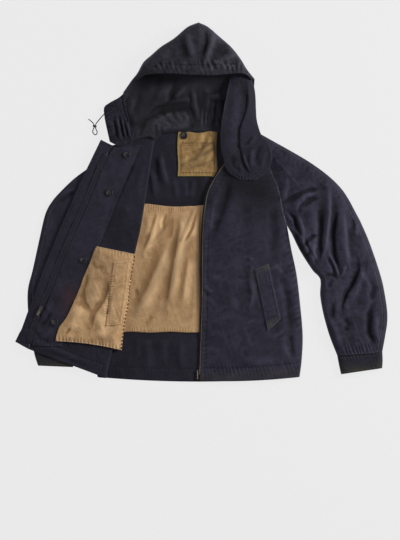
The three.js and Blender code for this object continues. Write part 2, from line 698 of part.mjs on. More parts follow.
// Hood halves: each section starts at the face edge, goes over the crown, round the outer fold and
// back underneath to the neck seam
const HOOD_ROLLS = { closed: 0, radius: 60, underRadius: 34, nearRadius: 0, floor: 0, backShare: 0.5 };
const HOOD_COLUMNS = "nearX nearY farX farY backX backY nearZ crown mid backZ";
const HOOD_LEFT = table(HOOD_COLUMNS, [
  [0.25, 857, 0.25, 1005, 0.25, 703.5, 52, 50, 20, 0],
  [35, 855, 26, 993, 22, 703.2, 51, 49, 20, 0],
  [70, 858, 58, 966, 45, 702, 48, 46, 19, 0],
  [98, 861, 92, 936, 70, 700, 43, 42, 17, 0],
  [120, 862, 118, 903, 92, 698, 36, 36, 14, 0],
  [135, 858, 136, 874, 113, 696.6, 26, 26, 10, 0],
  [150, 845, 157, 848, 150, 708, 14, 14, 6, 0],
]);
const HOOD_RIGHT = table(HOOD_COLUMNS, [
  [-0.25, 857, -0.25, 1005, -0.25, 703.5, 52, 50, 20, 0],
  [-38, 858, -31, 992, -24, 703.2, 51, 49, 20, 0],
  [-76, 861, -68, 961, -50, 701.8, 49, 47, 19, 0],
  [-108, 861, -104, 938, -78, 699.2, 46, 44, 18, 1],
  [-132, 860, -132, 914, -104, 696, 41, 40, 16, 4],
  [-150, 857, -154, 894, -128, 692, 34, 33, 14, 15.4],
  [-166, 848, -171, 864, -152, 687, 25, 24, 11, 16],
  [-183, 838, -187, 844, -172, 682, 14, 14, 8, 16],
  [-206, 806, -211, 810, -188, 678, 8, 8, 4, 16],
]);
const hoodStops = [
  ...flats(TOP, [0, 0.12, 0.3, 0.5, 0.75, 1]),
  ...farTurns(TOP, [degrees(60), degrees(30), 0]),
  ...farTurns(UNDER, [degrees(35), degrees(70)]),
  ...flats(UNDER, steps(10, 1, 0)),
];
const HOOD_INNER_FOLDS = table(FOLD_COLUMNS, [
  [-128, 838, -150, 780, -158, 720, 15, 9],
  [-98, 850, -104, 800, -130, 740, 14, 10],
  [-70, 800, -92, 772, -88, 750, 10, 6],
  [-34, 830, -30, 800, -26, 765, 10, 6],
  [20, 800, 26, 770, 22, 735, 12, 5],
]);
const NAPE_TUCK = { x: -84, y: 728, halfLength: 62, halfWidth: 26, rise: 9 };

// The hood lies on its back, so its folds rise from the lower layer
function hoodHalf(rows, columns) {
  const faces = [];
  const backs = [];
  for (const v of steps(columns)) {
    const section = { ...HOOD_ROLLS, ...along(rows, v) };
    const made = hoodStops.map((stop) => rolledPoint(section, stop, []));
    made.forEach(({ point, inward }, j) => {
      if (hoodStops[j].side !== UNDER || hoodStops[j].part !== "flat") return;
      const reach = Math.hypot(point.x - NAPE_TUCK.x, (point.y - NAPE_TUCK.y) * (NAPE_TUCK.halfLength / NAPE_TUCK.halfWidth));
      const tuck = NAPE_TUCK.rise * smooth((NAPE_TUCK.halfLength - reach) / 30);
      const away = smooth((section.farY - point.y) / 60) * smooth((point.y - section.backY) / 14);
      const room = Math.max(0, relief(HOOD_INNER_FOLDS, point.x, point.y)) + tuck;
      point.z += room * away * smooth((820 - point.y + 40) / 60);
    });
    faces.push(made.map(({ point }) => point));
    backs.push(made.map(({ point, inward }, j) => point.clone().addScaledVector(inward, j < 2 ? CLOTH * 1.8 : CLOTH)));
  }
  return wall(faces, backs);
}
add("hood_left", hoodHalf(HOOD_LEFT, 10), "navy");
add("hood_right", hoodHalf(HOOD_RIGHT, 13), "navy");

// Left throat flap: the hood's lower corner. Its upper part stands beside the face opening, and its
// round lower end hangs over the left front
const THROAT_LEFT = table("leftX leftY rightX rightY leftZ midZ rightZ", [
  [90, 872, 136, 861, 7, 12, 7],
  [88, 850, 148, 839, 9, 13, 5.4],
  [83, 826, 157, 820, 14, 13.5, 2.6],
  [76, 790, 160, 793, 17, 14.5, 2.2],
  [68, 750, 161, 764, 17.5, 15.5, 2.6],
  [63, 712, 164, 728, 17, 16, 10.5],
  [61, 680, 178, 686, 15, 17, 15],
  [63, 650, 198, 664, 14, 17.4, 16],
  [70, 626, 206, 634, 13.4, 17.4, 16.2],
  [74, 604, 200, 604, 13, 16.6, 15.2],
  [88, 584, 182, 580, 13, 15, 13.6],
  [116, 566, 160, 564, 12.8, 13.2, 13],
]);
const THROAT_LEFT_FOLDS = table(FOLD_COLUMNS, [
  [134, 800, 122, 728, 112, 680, 8, -3.5],
  [112, 680, 116, 640, 138, 588, 9, -4],
  [153, 688, 142, 672, 130, 660, 8, -3],
  [160, 650, 148, 625, 146, 595, 9, 3],
  [186, 650, 172, 615, 166, 585, 9, 2.5],
]);

function throatLeftPlace(u, v) {
  const row = along(THROAT_LEFT, v);
  const x = mix(row.leftX, row.rightX, u);
  const y = mix(row.leftY, row.rightY, u);
  const arch = 1 - Math.abs(2 * u - 1) ** 3;
  const z = mix(mix(row.leftZ, row.rightZ, u), row.midZ, arch) + relief(THROAT_LEFT_FOLDS, x, y) * arch ** 2;
  return { x, y, z: z - 0.4 };
}
const flapColumns = [...steps(7, 0, 0.84), 0.93, 1];
add("left_throat_flap", panel(throatLeftPlace, flapColumns, steps(17), CLOTH), "navy");

// Right throat flap: it lies opened out, with gathers where the drawcord channel is stitched
const THROAT_RIGHT = table("leftX leftY rightX rightY leftZ midZ rightZ", [
  [-223, 795, -206, 811, 6, 7.6, 9],
  [-248, 782, -204, 788, 5, 8.6, 9.6],
  [-264, 768, -202, 764, 5, 10, 12],
  [-263, 742, -197, 740, 8, 13, 15.6],
  [-258, 716, -191, 716, 13, 16.5, 18.4],
  [-253, 694, -184, 694, 15.6, 18.2, 18.6],
  [-248, 672, -184, 668, 16, 18.2, 18.6],
]);
const GATHERS = { count: 5, fromX: -236, toX: -190, rise: 1.6, y: 722, halfHeight: 48 };

function throatRightPlace(u, v) {
  const row = along(THROAT_RIGHT, v);
  const x = mix(row.leftX, row.rightX, u);
  const y = mix(row.leftY, row.rightY, u) - 10 * smooth((v - 0.75) / 0.25) * Math.sin(Math.PI * u);
  const arch = 4 * u * (1 - u);
  const place = (x - GATHERS.fromX) / (GATHERS.toX - GATHERS.fromX);
  const inside = smooth(place * 4 + 1) * smooth((1 - place) * 4 + 1);
  const level = Math.exp(-(((y - GATHERS.y) / GATHERS.halfHeight) ** 2));
  const wave = GATHERS.rise * (1 + Math.cos(2 * Math.PI * GATHERS.count * place)) * inside * level;
  return { x, y, z: mix(mix(row.leftZ, row.rightZ, u), row.midZ, arch) + wave };
}
add("right_throat_flap", panel(throatRightPlace, steps(22), steps(7), CLOTH), "navy");

// Zip tapes: the left one shows along the edge of the left front, the right one along the folded front
const TAPE = { thick: 0.9, width: 15, show: 6.5 };
const TAPE_ROWS = [0.03, 0.055, ...steps(SIDE_STEPS).slice(2), ...steps(RAGLAN_STEPS, 1, 2).slice(1, 7)];

// A place beside an edge: "across" millimetres to the right of its direction at v
function beside(edge, v, across) {
  const here = edge(v);
  const ahead = edge(v + 0.01);
  const length = Math.hypot(ahead.x - here.x, ahead.y - here.y);
  const right = { x: (ahead.y - here.y) / length, y: (here.x - ahead.x) / length };
  return { x: here.x + right.x * across, y: here.y + right.y * across, z: here.z };
}

const leftZipEdge = (v) => (v < 1 ? along(LEFT_FRONT_SIDE, v) : along(LEFT_FRONT_RAGLAN, v - 1));
function leftTapePlace(u, v) {
  const { x, y, z } = beside(leftZipEdge, v, TAPE.width * u - TAPE.show);
  const dip = Math.min(0, relief(LEFT_FRONT_FOLDS, x, y), relief(LEFT_FRONT_FOLDS, x + TAPE.width, y));
  return { x, y, z: Math.max(LAP + KHAKI + SEAM, z + dip - TAPE.thick - SEAM - 0.3) };
}
add("left_zip_tape", panel(leftTapePlace, steps(2), TAPE_ROWS, TAPE.thick), "tape");

const rightZipEdge = (v) => {
  const { nearX: x, nearY: y, nearZ: z } = along(RIGHT_FRONT, v);
  return { x, y, z: z + relief(RIGHT_FRONT_FOLDS, x, y) };
};
function rightTapePlace(u, v) {
  const { x, y, z } = beside(rightZipEdge, v, TAPE.width * u - 9.5);
  return { x, y, z: z + FLY_CLOTH - CLOTH + SEAM + 0.25 };
}
add("right_zip_tape", panel(rightTapePlace, steps(2), RIGHT_ROWS.slice(1, -1), TAPE.thick), "tape");

// Height of a piece's top at a place in plan
function topOf(name, x, y) {
  const mesh = garment.getObjectByName(name);
  const ray = new THREE.Raycaster(new THREE.Vector3(x, y, 500), new THREE.Vector3(0, 0, -1));
  return ray.intersectObject(mesh)[0].point.z;
}

// Pin at the foot of the left tape, pressed round its edge
const PIN = { x: -2.6, width: 3.6, fromY: 8, length: 26, height: 2.4 };
function roundedBar(width, length, height, bevel) {
  const shape = new THREE.Shape();
  const [w, h] = [width / 2, height];
  shape.moveTo(-w, 0);
  shape.lineTo(w, 0);
  shape.lineTo(w, h - bevel);
  shape.lineTo(w - bevel, h);
  shape.lineTo(-w + bevel, h);
  shape.lineTo(-w, h - bevel);
  return new THREE.ExtrudeGeometry(shape, { depth: length, bevelEnabled: false }).rotateX(RIGHT_ANGLE);
}
const pinTop = topOf("left_zip_tape", PIN.x + 2, PIN.fromY + PIN.length / 2);
const pin = roundedBar(PIN.width, PIN.length, PIN.height, 0.7);
add("left_zip_pin", pin.translate(PIN.x, PIN.fromY + PIN.length, pinTop + SEAM + 0.1), "brass");

// Slider on the right tape, and the pull tab that swings on its bridge
const SLIDER = { x: -440.5, y: 208, length: 11, front: 9, rear: 6.4, height: 3.2, turn: degrees(-25) };
const BRIDGE = { length: 7.6, width: 2, height: 3.6, bar: 1 };
const HINGE = { z: SLIDER.height + 1.4, rod: 1.2 };
const PULL = { length: 24, eye: 6.6, eyeWidth: 3.4, side: 1.5, width: 6.4, thick: 1.2 };
const sliderGroup = new THREE.Group();
sliderGroup.name = "slider_frame";
sliderGroup.position.set(SLIDER.x, SLIDER.y, topOf("right_zip_tape", SLIDER.x, SLIDER.y) + SEAM);
sliderGroup.rotation.z = SLIDER.turn;

function plate(points, depth) {
  const shape = new THREE.Shape(points.map(([x, y]) => new THREE.Vector2(x, y)));
  return new THREE.ExtrudeGeometry(shape, { depth, bevelEnabled: false });
}
const half = SLIDER.length / 2;
const sliderBody = plate(
  [
    [-SLIDER.rear / 2, -half],
    [SLIDER.rear / 2, -half],
    [SLIDER.front / 2, half * 0.3],
    [SLIDER.front / 2 - 1, half],
    [-SLIDER.front / 2 + 1, half],
    [-SLIDER.front / 2, half * 0.3],
  ],
  SLIDER.height,
);
const arch = (length, height, depth) => {
  const points = [
    [-length / 2, -0.6],
    [length / 2, -0.6],
    [length / 2, height * 0.6],
    [length / 2 - height * 0.35, height],
    [-length / 2 + height * 0.35, height],
    [-length / 2, height * 0.6],
  ];
  return plate(points, depth).translate(0, 0, -depth / 2).rotateX(RIGHT_ANGLE).rotateZ(RIGHT_ANGLE);
};
const bridgeOuter = arch(BRIDGE.length, BRIDGE.height, BRIDGE.width).translate(0, 0, SLIDER.height);
const bridgeInner = arch(BRIDGE.length - 2 * BRIDGE.bar, BRIDGE.height - BRIDGE.bar, BRIDGE.width + 2);
const bridgeHole = bridgeInner.translate(0, 0, SLIDER.height + 0.6);
const openBridge = solid(bridgeOuter).subtract(solid(bridgeHole));
const slider = geometryOf(openBridge.add(solid(sliderBody)));
add("zip_slider", slider, "brass", sliderGroup);

// The tab is built lying along -Y from its hinge, then dropped until its end rests near the cloth
const pullPlate = plate(
  [
    [-PULL.width / 2, -PULL.length],
    [PULL.width / 2, -PULL.length],
    [PULL.width / 2, HINGE.rod / 2],
    [-PULL.width / 2, HINGE.rod / 2],
  ],
  PULL.thick,
);
const eyeHole = plate(
  [
    [-PULL.eyeWidth / 2, -PULL.eye],
    [PULL.eyeWidth / 2, -PULL.eye],
    [PULL.eyeWidth / 2, -HINGE.rod / 2],
    [-PULL.eyeWidth / 2, -HINGE.rod / 2],
  ],
  PULL.thick + 2,
).translate(0, 0, -1);
const tab = geometryOf(solid(pullPlate).subtract(solid(eyeHole)));
const PULL_DROP = degrees(6);
tab.translate(0, 0, -PULL.thick / 2).rotateX(PULL_DROP).translate(0, 0, HINGE.z);
add("zip_pull", tab, "brass", sliderGroup);
garment.add(sliderGroup);

// Label patch, left bare, on the inside of the back under the neck
const LABEL = { left: -57, right: 52, bottom: 577, top: 699.5, thick: 1.3 };
function labelPlace(u, v) {
  const x = mix(LABEL.left, LABEL.right, u);
  const y = mix(LABEL.bottom, LABEL.top, v) + 2.4 * Math.sin(u * 9.5) * smooth(v * 2 - 1);
  return { x, y, z: LAP };
}
add("neck_label", panel(labelPlace, steps(14), steps(5), LABEL.thick), "label");

// Sew-on buttons: a dished disc with a raised rim
function button(diameter, height) {
  const r = diameter / 2;
  const profile = [
    [0, 0],
    [r * 0.86, 0],
    [r, height * 0.4],
    [r * 0.95, height * 0.9],
    [r * 0.84, height],
    [r * 0.7, height * 0.72],
    [0, height * 0.72],
  ];
  const points = profile.map(([x, y]) => new THREE.Vector2(x, y));
  return new THREE.LatheGeometry(points, 20).rotateX(RIGHT_ANGLE);
}
const BUTTON_HEIGHT = 2.8;
const buttons = table("x y diameter", [
  [-200, 636, 20],
  [-249, 529, 20],
  [-323, 342, 20],
  [-402, 168, 20],
]);
buttons.forEach(({ x, y, diameter }, i) => {
  const spots = steps(8).map((turn) => 2 * Math.PI * turn);
  const around = spots.map((a) => [x + 0.5 * diameter * Math.cos(a), y + 0.5 * diameter * Math.sin(a)]);
  const tops = [[x, y], ...around].map(([px, py]) => topOf("right_front_facing", px, py));
  const mesh = button(diameter, BUTTON_HEIGHT).translate(x, y, Math.max(...tops) + SEAM);
  add(`liner_button_${i + 1}`, mesh, "button");
});
const NAPE_BUTTON = { x: -41, y: 690, diameter: 21 };
const napeTop = LAP + LABEL.thick + SEAM;
const napeMesh = button(NAPE_BUTTON.diameter, BUTTON_HEIGHT).translate(NAPE_BUTTON.x, NAPE_BUTTON.y, napeTop);
add("nape_button", napeMesh, "button");

// Drawcord: out of its channel, down to the knot, round a loop and back through the knot to a free end
const CORD_DIAMETER = 2.4;
const DRAWCORD = table("x y z", [
  [-256, 758, 7.1],
  [-266, 748, 3.6],
  [-276, 737, 1.4],
  [-284.5, 726.5, 2],
  [-289.1, 719.5, 4.2],
  [-289.1, 712.5, 4.2],
  [-286.4, 706.5, 2.4],
  [-283.2, 700.5, 1.3],
  [-284, 695, 1.25],
  [-288.5, 691, 1.3],
  [-293.5, 694, 1.25],
  [-297, 701, 1.3],
  [-295, 706.5, 2.4],
  [-291.9, 712.5, 4.2],
  [-291.9, 719.5, 4.2],
  [-295, 725.5, 2.4],
  [-301.5, 731, 1.3],
  [-308, 736, 1.25],
]);

// A round cord along smooth points
const CORD_SIDES = 6;
function cordAlong(points, diameter, samples) {
  const curve = new THREE.CatmullRomCurve3(points.map(({ x, y, z }) => new THREE.Vector3(x, y, z)));
  const corners = steps(CORD_SIDES).slice(1).map((turn) => 2 * Math.PI * turn);
  const round = corners.map((a) => new THREE.Vector2(Math.cos(a), Math.sin(a)).multiplyScalar(diameter / 2));
  const options = { extrudePath: curve, steps: samples, bevelEnabled: false };
  return new THREE.ExtrudeGeometry(new THREE.Shape(round), options);
}
add("drawcord", cordAlong(DRAWCORD, CORD_DIAMETER, 56), "cord");

// The knot's two turns round both strands
const KNOT = { x: -290.5, y: 716, z: 4.25, reachX: 4.3, reachZ: 2.95, turns: 2, pitch: 2.7 };
const knotPath = steps(20).map((t) => {
  const a = 2 * Math.PI * KNOT.turns * t - RIGHT_ANGLE;
  const y = KNOT.y + KNOT.pitch * KNOT.turns * (t - 0.5);
  return { x: KNOT.x + KNOT.reachX * Math.cos(a), y, z: KNOT.z + KNOT.reachZ * Math.sin(a) };
});
add("drawcord_knot", cordAlong(knotPath, CORD_DIAMETER, 32), "cord");

garment.position.set(ORIGIN_SHIFT.x, ORIGIN_SHIFT.y, 0);
export default garment;
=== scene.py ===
"""Looks of a hooded cotton anorak, laid out flat with its right front folded open.

Lengths in the tables are millimetres in the garment's own plan: X from the middle of the back, Y up from the
hem and Z up from the floor. Left and right are the wearer's. Everything is turned to metres in the CAD frame
when a mesh is written.
"""

from __future__ import annotations

import logging
import math
from dataclasses import dataclass, field
from enum import Enum
from typing import Any, Callable, Iterable, Sequence

import bmesh
import bpy
import numpy as np
from mathutils import Matrix, Vector

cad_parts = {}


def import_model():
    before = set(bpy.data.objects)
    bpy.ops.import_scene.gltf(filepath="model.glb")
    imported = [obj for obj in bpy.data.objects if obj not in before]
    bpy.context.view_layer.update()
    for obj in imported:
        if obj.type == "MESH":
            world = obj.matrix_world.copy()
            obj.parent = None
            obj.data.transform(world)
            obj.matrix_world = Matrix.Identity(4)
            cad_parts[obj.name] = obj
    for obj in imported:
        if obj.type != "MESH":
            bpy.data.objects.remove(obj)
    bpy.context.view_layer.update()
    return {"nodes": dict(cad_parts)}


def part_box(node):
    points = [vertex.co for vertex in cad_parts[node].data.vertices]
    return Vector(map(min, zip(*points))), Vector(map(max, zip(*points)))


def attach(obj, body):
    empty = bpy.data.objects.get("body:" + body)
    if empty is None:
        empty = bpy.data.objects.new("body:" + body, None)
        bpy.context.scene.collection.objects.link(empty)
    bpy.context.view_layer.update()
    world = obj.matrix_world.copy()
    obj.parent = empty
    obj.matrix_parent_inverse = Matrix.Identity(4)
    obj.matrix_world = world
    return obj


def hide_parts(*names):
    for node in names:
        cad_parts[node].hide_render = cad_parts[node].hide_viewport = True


log = logging.getLogger("anorak")

Array = np.ndarray
Colour = tuple[float, float, float]
Point = tuple[float, float]
Spot = tuple[float, float, float, float, float]  # X, Y, reach both ways and strength
Path = tuple[Point, ...]
Stroke = tuple[float, ...]  # a drawn line's width and strength, then its points' X and Y
Columns = dict[str, Array]
Index = tuple[Array, Array]
Folds = tuple["Relief", ...]
Surface = Callable[[Array, Array], "Shape"]
Edge = Callable[[Array], Columns]
Material = bpy.types.Material
Piece = bpy.types.Object

GARMENT = "garment"
MM = 0.001  # a millimetre in metres
PLAN_SHIFT = np.array([-7.85, -503.0, 0.0])  # from the garment's plan to the CAD frame
QUARTER = math.pi / 2
CLOTH = 1.6  # thickness of the navy cotton
KHAKI = 1.4  # thickness of the khaki twill
SEAM = 0.3  # gap between pieces that lie on each other
LAP = CLOTH + SEAM
HALF_SEAM = 0.25  # gap from a piece's edge to the middle of its seam
CROWN_REACH = 0.35  # share of a section over which it climbs from its edge to its crown
WIDEST_ROLL = 0.42  # most of a section's width that one roll takes
LEAST_ROLL = 0.06  # share of its near roll that an open section keeps
FINE_FOLD = 5.0  # reach of the blur that leaves small folds
BROAD_FOLD = 22.0  # reach of the blur that leaves large folds
LEAST_CUT = 0.31  # least share of its rectangle that a cut piece covers


def mix(a: Any, b: Any, share: Any) -> Any:
    """Return the value that lies a share of the way from a to b."""
    return a + (b - a) * share


def smooth(value: Any) -> Any:
    """Ease a value from 0 to 1, flat outside that range."""
    share = np.clip(value, 0.0, 1.0)
    return share * share * (3.0 - 2.0 * share)


class Rows:
    """Numbers under named columns, read on smooth curves through their rows."""

    def __init__(self, columns: str, *rows: Sequence[float]) -> None:
        """Keep the rows.

        Args:
            columns: The column names, with spaces between them.
            rows: One sequence of numbers for each row.
        """
        self.names = columns.split()
        self.values = np.array(rows, dtype=float)

    def at(self, place: Array) -> Columns:
        """Read every column.

        Args:
            place: Places from 0, the first row, to 1, the last.

        Returns:
            An array for each column name.
        """
        last = len(self.values) - 1
        spot = np.clip(np.asarray(place, dtype=float) * last, 0, last - 1e-9)
        i = np.floor(spot).astype(int)
        f = (spot - i)[..., None]
        a, b, c, d = (self.values[np.clip(i + k, 0, last)] for k in (-1, 0, 1, 2))
        curve = 2 * b + (c - a) * f + (2 * a - 5 * b + 4 * c - d) * f**2
        curve = 0.5 * (curve + (3 * b - a - 3 * c + d) * f**3)
        return {name: curve[..., n] for n, name in enumerate(self.names)}


class Line:
    """A bent line in plan that measures how far points lie from it."""

    def __init__(self, points: Iterable[Point]) -> None:
        """Keep the corner points.

        Args:
            points: The corners in order.
        """
        self.points = np.array(list(points), dtype=float)
        self.steps = np.diff(self.points, axis=0)
        self.lengths = np.hypot(self.steps[:, 0], self.steps[:, 1])
        self.length = float(self.lengths.sum())

    def measure(self, x: Array, y: Array) -> tuple[Array, Array, Array]:
        """Measure points against the line.

        Args:
            x: Plan X of the points.
            y: Plan Y of the points.

        Returns:
            Distance, place along the line, and side (1 on its left, -1 on its right).
        """
        best = np.full(x.shape, np.inf)
        along = np.zeros(x.shape)
        side = np.zeros(x.shape)
        start = 0.0
        for (ax, ay), (dx, dy), length in zip(self.points, self.steps, self.lengths):
            t = np.clip(((x - ax) * dx + (y - ay) * dy) / length**2, 0, 1)
            off_x, off_y = x - ax - dx * t, y - ay - dy * t
            distance = np.hypot(off_x, off_y)
            closer = distance < best
            best = np.where(closer, distance, best)
            along = np.where(closer, start + t * length, along)
            side = np.where(closer, np.sign(dx * off_y - dy * off_x), side)
            start += length
        return best, along, side


class Noise:
    """Smooth random heights in plan, the same on every run."""

    def __init__(self, seed: int) -> None:
        """Fill the lattice from a seed."""
        self.lattice = np.random.default_rng(seed).uniform(-1, 1, (61, 67))

    def at(self, x: Array, y: Array) -> Array:
        """Read the noise at places measured in lattice cells.

        Args:
            x: Places across the lattice.
            y: Places along it.

        Returns:
            Values from -1 to 1.
        """
        i, j = np.floor(x).astype(int), np.floor(y).astype(int)
        fx, fy = smooth(x - i), smooth(y - j)
        rows, columns = self.lattice.shape

        def corner(di: int, dj: int) -> Array:
            """Read one corner of each cell."""
            return self.lattice[(i + di) % rows, (j + dj) % columns]

        return mix(mix(corner(0, 0), corner(1, 0), fx), mix(corner(0, 1), corner(1, 1), fx), fy)


class Relief:
    """Anything that lifts or sinks a cloth surface."""

    def height(self, x: Array, y: Array) -> Array:
        """Return the rise in mm at plan places."""
        raise NotImplementedError


@dataclass(frozen=True)
class Crease(Relief):
    """A ridge (rise above 0) or a trough (below 0) that follows a bent line.

    lean above 0 makes its left side steeper and its right side longer. power below 2 sharpens its middle.
    """

    points: Path
    width: float
    rise: float
    lean: float = 0.0
    power: float = 2.0

    def height(self, x: Array, y: Array) -> Array:
        """Return the crease's height, fading towards both ends of its line."""
        line = Line(self.points)
        distance, along, side = line.measure(x, y)
        width = self.width * (1.0 - self.lean * side)
        end = np.minimum(along, line.length - along) / (0.3 * line.length)
        return self.rise * (0.15 + 0.85 * smooth(end)) * np.exp(-((distance / width) ** self.power))


def creases(*rows: Sequence[float]) -> Folds:
    """Make a table of creases.

    Args:
        rows: Each crease's width, rise and lean, its power where it isn't 2, and its points' X and Y.

    Returns:
        The creases in the table's order.
    """
    heads = [4 - len(row) % 2 for row in rows]
    return tuple(Crease(tuple(zip(row[n::2], row[n + 1 :: 2])), *row[:n]) for row, n in zip(rows, heads))


@dataclass(frozen=True)
class Groove(Relief):
    """A stitched line that pulls the cloth down a little, all along."""

    points: Path
    width: float = 2.2
    depth: float = 0.5

    def height(self, x: Array, y: Array) -> Array:
        """Return the groove's depth as a negative height."""
        distance, _, _ = Line(self.points).measure(x, y)
        return -self.depth * np.exp(-((distance / self.width) ** 2))


@dataclass(frozen=True)
class Puckers(Relief):
    """Short waves across a sewn line, as thread that has shrunk makes them."""

    points: Path
    pitch: float = 9.0
    reach: float = 8.0
    rise: float = 0.5
    seed: int = 3
    shift: float = 0.0

    def height(self, x: Array, y: Array) -> Array:
        """Return the waves' height."""
        distance, along, side = Line(self.points).measure(x, y)
        drift = Noise(self.seed).at(along / (1.7 * self.pitch), side * 0 + 0.5)
        size = 0.55 + 0.45 * Noise(self.seed + 1).at(along / (3.1 * self.pitch), side * 0 + 0.5)
        wave = np.sin(2 * math.pi * along / self.pitch + 2.4 * drift + 0.15 * distance * side)
        return self.rise * size * wave * np.exp(-(((distance * side - self.shift) / self.reach) ** 2))


@dataclass(frozen=True)
class Crumple(Relief):
    """Slack, soft unevenness of worn cloth."""

    size: float = 60.0
    rise: float = 0.8
    seed: int = 11
    stretch: float = 1.0

    def height(self, x: Array, y: Array) -> Array:
        """Return a few octaves of noise, with sharper tops than hollows."""
        total = np.zeros(x.shape)
        for octave in range(3):
            scale = self.size / 2.1**octave
            place = (x + 0.35 * y) / scale, (y - 0.35 * x) / (scale * self.stretch)
            cells = Noise(self.seed + octave).at(*place)
            total = total + (0.5 - np.abs(cells)) * 0.55**octave
        return self.rise * total


def heights(terms: Sequence[Relief], x: Array, y: Array) -> Array:
    """Add up the heights of relief terms at plan places.

    Args:
        terms: The relief.
        x: Plan X.
        y: Plan Y.

    Returns:
        The rise in mm.
    """
    total = np.zeros(np.shape(x))
    for term in terms:
        total = total + term.height(x, y)
    return total


@dataclass
class Shape:
    """Placed points of a surface: plan and height, and how much of the height is relief."""

    x: Array
    y: Array
    z: Array
    relief: Array

    def points(self) -> Array:
        """Return the points in metres in the CAD frame."""
        return (np.stack([self.x, self.y, self.z], axis=-1) + PLAN_SHIFT) * MM


def held(rows: Columns, **sizes: float) -> Columns:
    """Add to a table's columns the sizes that stay the same all along."""
    shape = next(iter(rows.values())).shape
    return rows | {name: np.full(shape, value) for name, value in sizes.items()}


class Part(Enum):
    """The stretches that a rolled sheet's section is made of."""

    NEAR = 0
    FLAT = 1
    FAR = 2


NEAR, FLAT, FAR = Part


@dataclass(frozen=True)
class Stretch:
    """One stretch of a section: an angle range on a roll, or a share range on a flat."""

    part: Part
    top: bool
    start: float
    end: float
    share: float


@dataclass(frozen=True)
class Section:
    """How a sheet crosses from its near edge over the top and round its outer fold."""

    stretches: tuple[Stretch, ...]

    def place(self, rows: Columns, u: Array, relief: Callable[[Array, Array], Array]) -> Shape:
        """Place points across the section.

        Args:
            rows: The section's sizes at each point.
            u: The share of the way across.
            relief: The height to add on the upper side.

        Returns:
            The placed surface.
        """
        ends = np.cumsum([s.share for s in self.stretches])
        ends = ends / ends[-1]
        index = np.clip(np.searchsorted(ends, u, side="left"), 0, len(ends) - 1)
        begins = np.concatenate([[0.0], ends[:-1]])
        local = (u - begins[index]) / (ends - begins)[index]
        starts = np.array([s.start for s in self.stretches])[index]
        stops = np.array([s.end for s in self.stretches])[index]
        part = np.array([s.part.value for s in self.stretches])[index]
        top = np.array([s.top for s in self.stretches])[index]
        value = mix(starts, stops, local)
        edge_x = np.where(top, rows["nearX"], rows["backX"])
        edge_y = np.where(top, rows["nearY"], rows["backY"])
        width = np.hypot(rows["farX"] - edge_x, rows["farY"] - edge_y)
        radius = np.minimum(np.where(top, rows["radius"], rows["under"]), width * WIDEST_ROLL)
        near_radius = np.minimum(
            rows["nearRadius"], width * WIDEST_ROLL,
        ) * np.maximum(rows["closed"], LEAST_ROLL)
        near, far = part == NEAR.value, part == FAR.value
        distance = mix(near_radius, width - radius, value)
        distance = np.where(near, near_radius * (1 - np.cos(value)), distance)
        distance = np.where(far, width - radius * (1 - np.cos(value)), distance)
        x = edge_x + (rows["farX"] - edge_x) * distance / width
        y = edge_y + (rows["farY"] - edge_y) * distance / width
        bumps = relief(x, y)
        above = mix(rows["nearZ"], rows["crown"], smooth(distance / width / CROWN_REACH)) + bumps
        flat = smooth(distance / width / rows["backShare"])
        below = np.maximum(0, mix(rows["backZ"], rows["floor"], flat))
        surface = np.where(top, above, below)
        seam = rows["mid"] + np.where(top, 0.5, -0.5) * SEAM
        rise = np.sin(value)
        z = np.where(near, mix(surface, mix(seam, surface, rise), rows["closed"]), surface)
        z = np.where(far, mix(rows["mid"], surface, rise), z)
        return Shape(x, y, z, np.where(top, bumps * np.where(far, rise, 1.0), 0.0))


def soften(values: Array, reach: float) -> Array:
    """Blur a grid of values.

    Args:
        values: A two-dimensional grid.
        reach: The blur's reach in cells.

    Returns:
        The blurred grid.
    """
    size = max(1, int(round(reach * 2)))
    weights = np.exp(-((np.arange(-size, size + 1) / reach) ** 2))
    weights /= weights.sum()
    for axis in (0, 1):
        pads = [(size, size) if a == axis else (0, 0) for a in (0, 1)]
        padded = np.pad(values, pads, mode="edge")
        values = np.apply_along_axis(lambda row: np.convolve(row, weights, mode="valid"), axis, padded)
    return values


class Socket:
    """A shader value that takes part in Python arithmetic."""

    def __init__(self, shader: Shader, output: bpy.types.NodeSocket) -> None:
        """Wrap one output of a node."""
        self.shader = shader
        self.output = output

    def _math(self, operation: str, *values: Any) -> Socket:
        """Add a Math node and return its value."""
        inputs = {n: value for n, value in enumerate(values)}
        return self.shader.node("ShaderNodeMath", {"operation": operation}, inputs)[0]

    def __add__(self, other: Any) -> Socket:
        """Add."""
        return self._math("ADD", self, other)

    __radd__ = __add__

    def __mul__(self, other: Any) -> Socket:
        """Multiply."""
        return self._math("MULTIPLY", self, other)

    __rmul__ = __mul__

    def __sub__(self, other: Any) -> Socket:
        """Subtract."""
        return self._math("SUBTRACT", self, other)

    def __rsub__(self, other: Any) -> Socket:
        """Subtract from a number."""
        return self._math("SUBTRACT", other, self)

    def clipped(self, low: float = 0.0, high: float = 1.0) -> Socket:
        """Hold the value between two limits."""
        return self._math("MINIMUM", self._math("MAXIMUM", self, low), high)

    def eased(self, low: float, high: float) -> Socket:
        """Ease from 0 at low to 1 at high.

        Args:
            low: The value that gives 0.
            high: The value that gives 1.

        Returns:
            The eased value.
        """
        settings = {"interpolation_type": "SMOOTHSTEP"}
        inputs = {"Value": self, "From Min": low, "From Max": high}
        return self.shader.node("ShaderNodeMapRange", settings, inputs)[0]


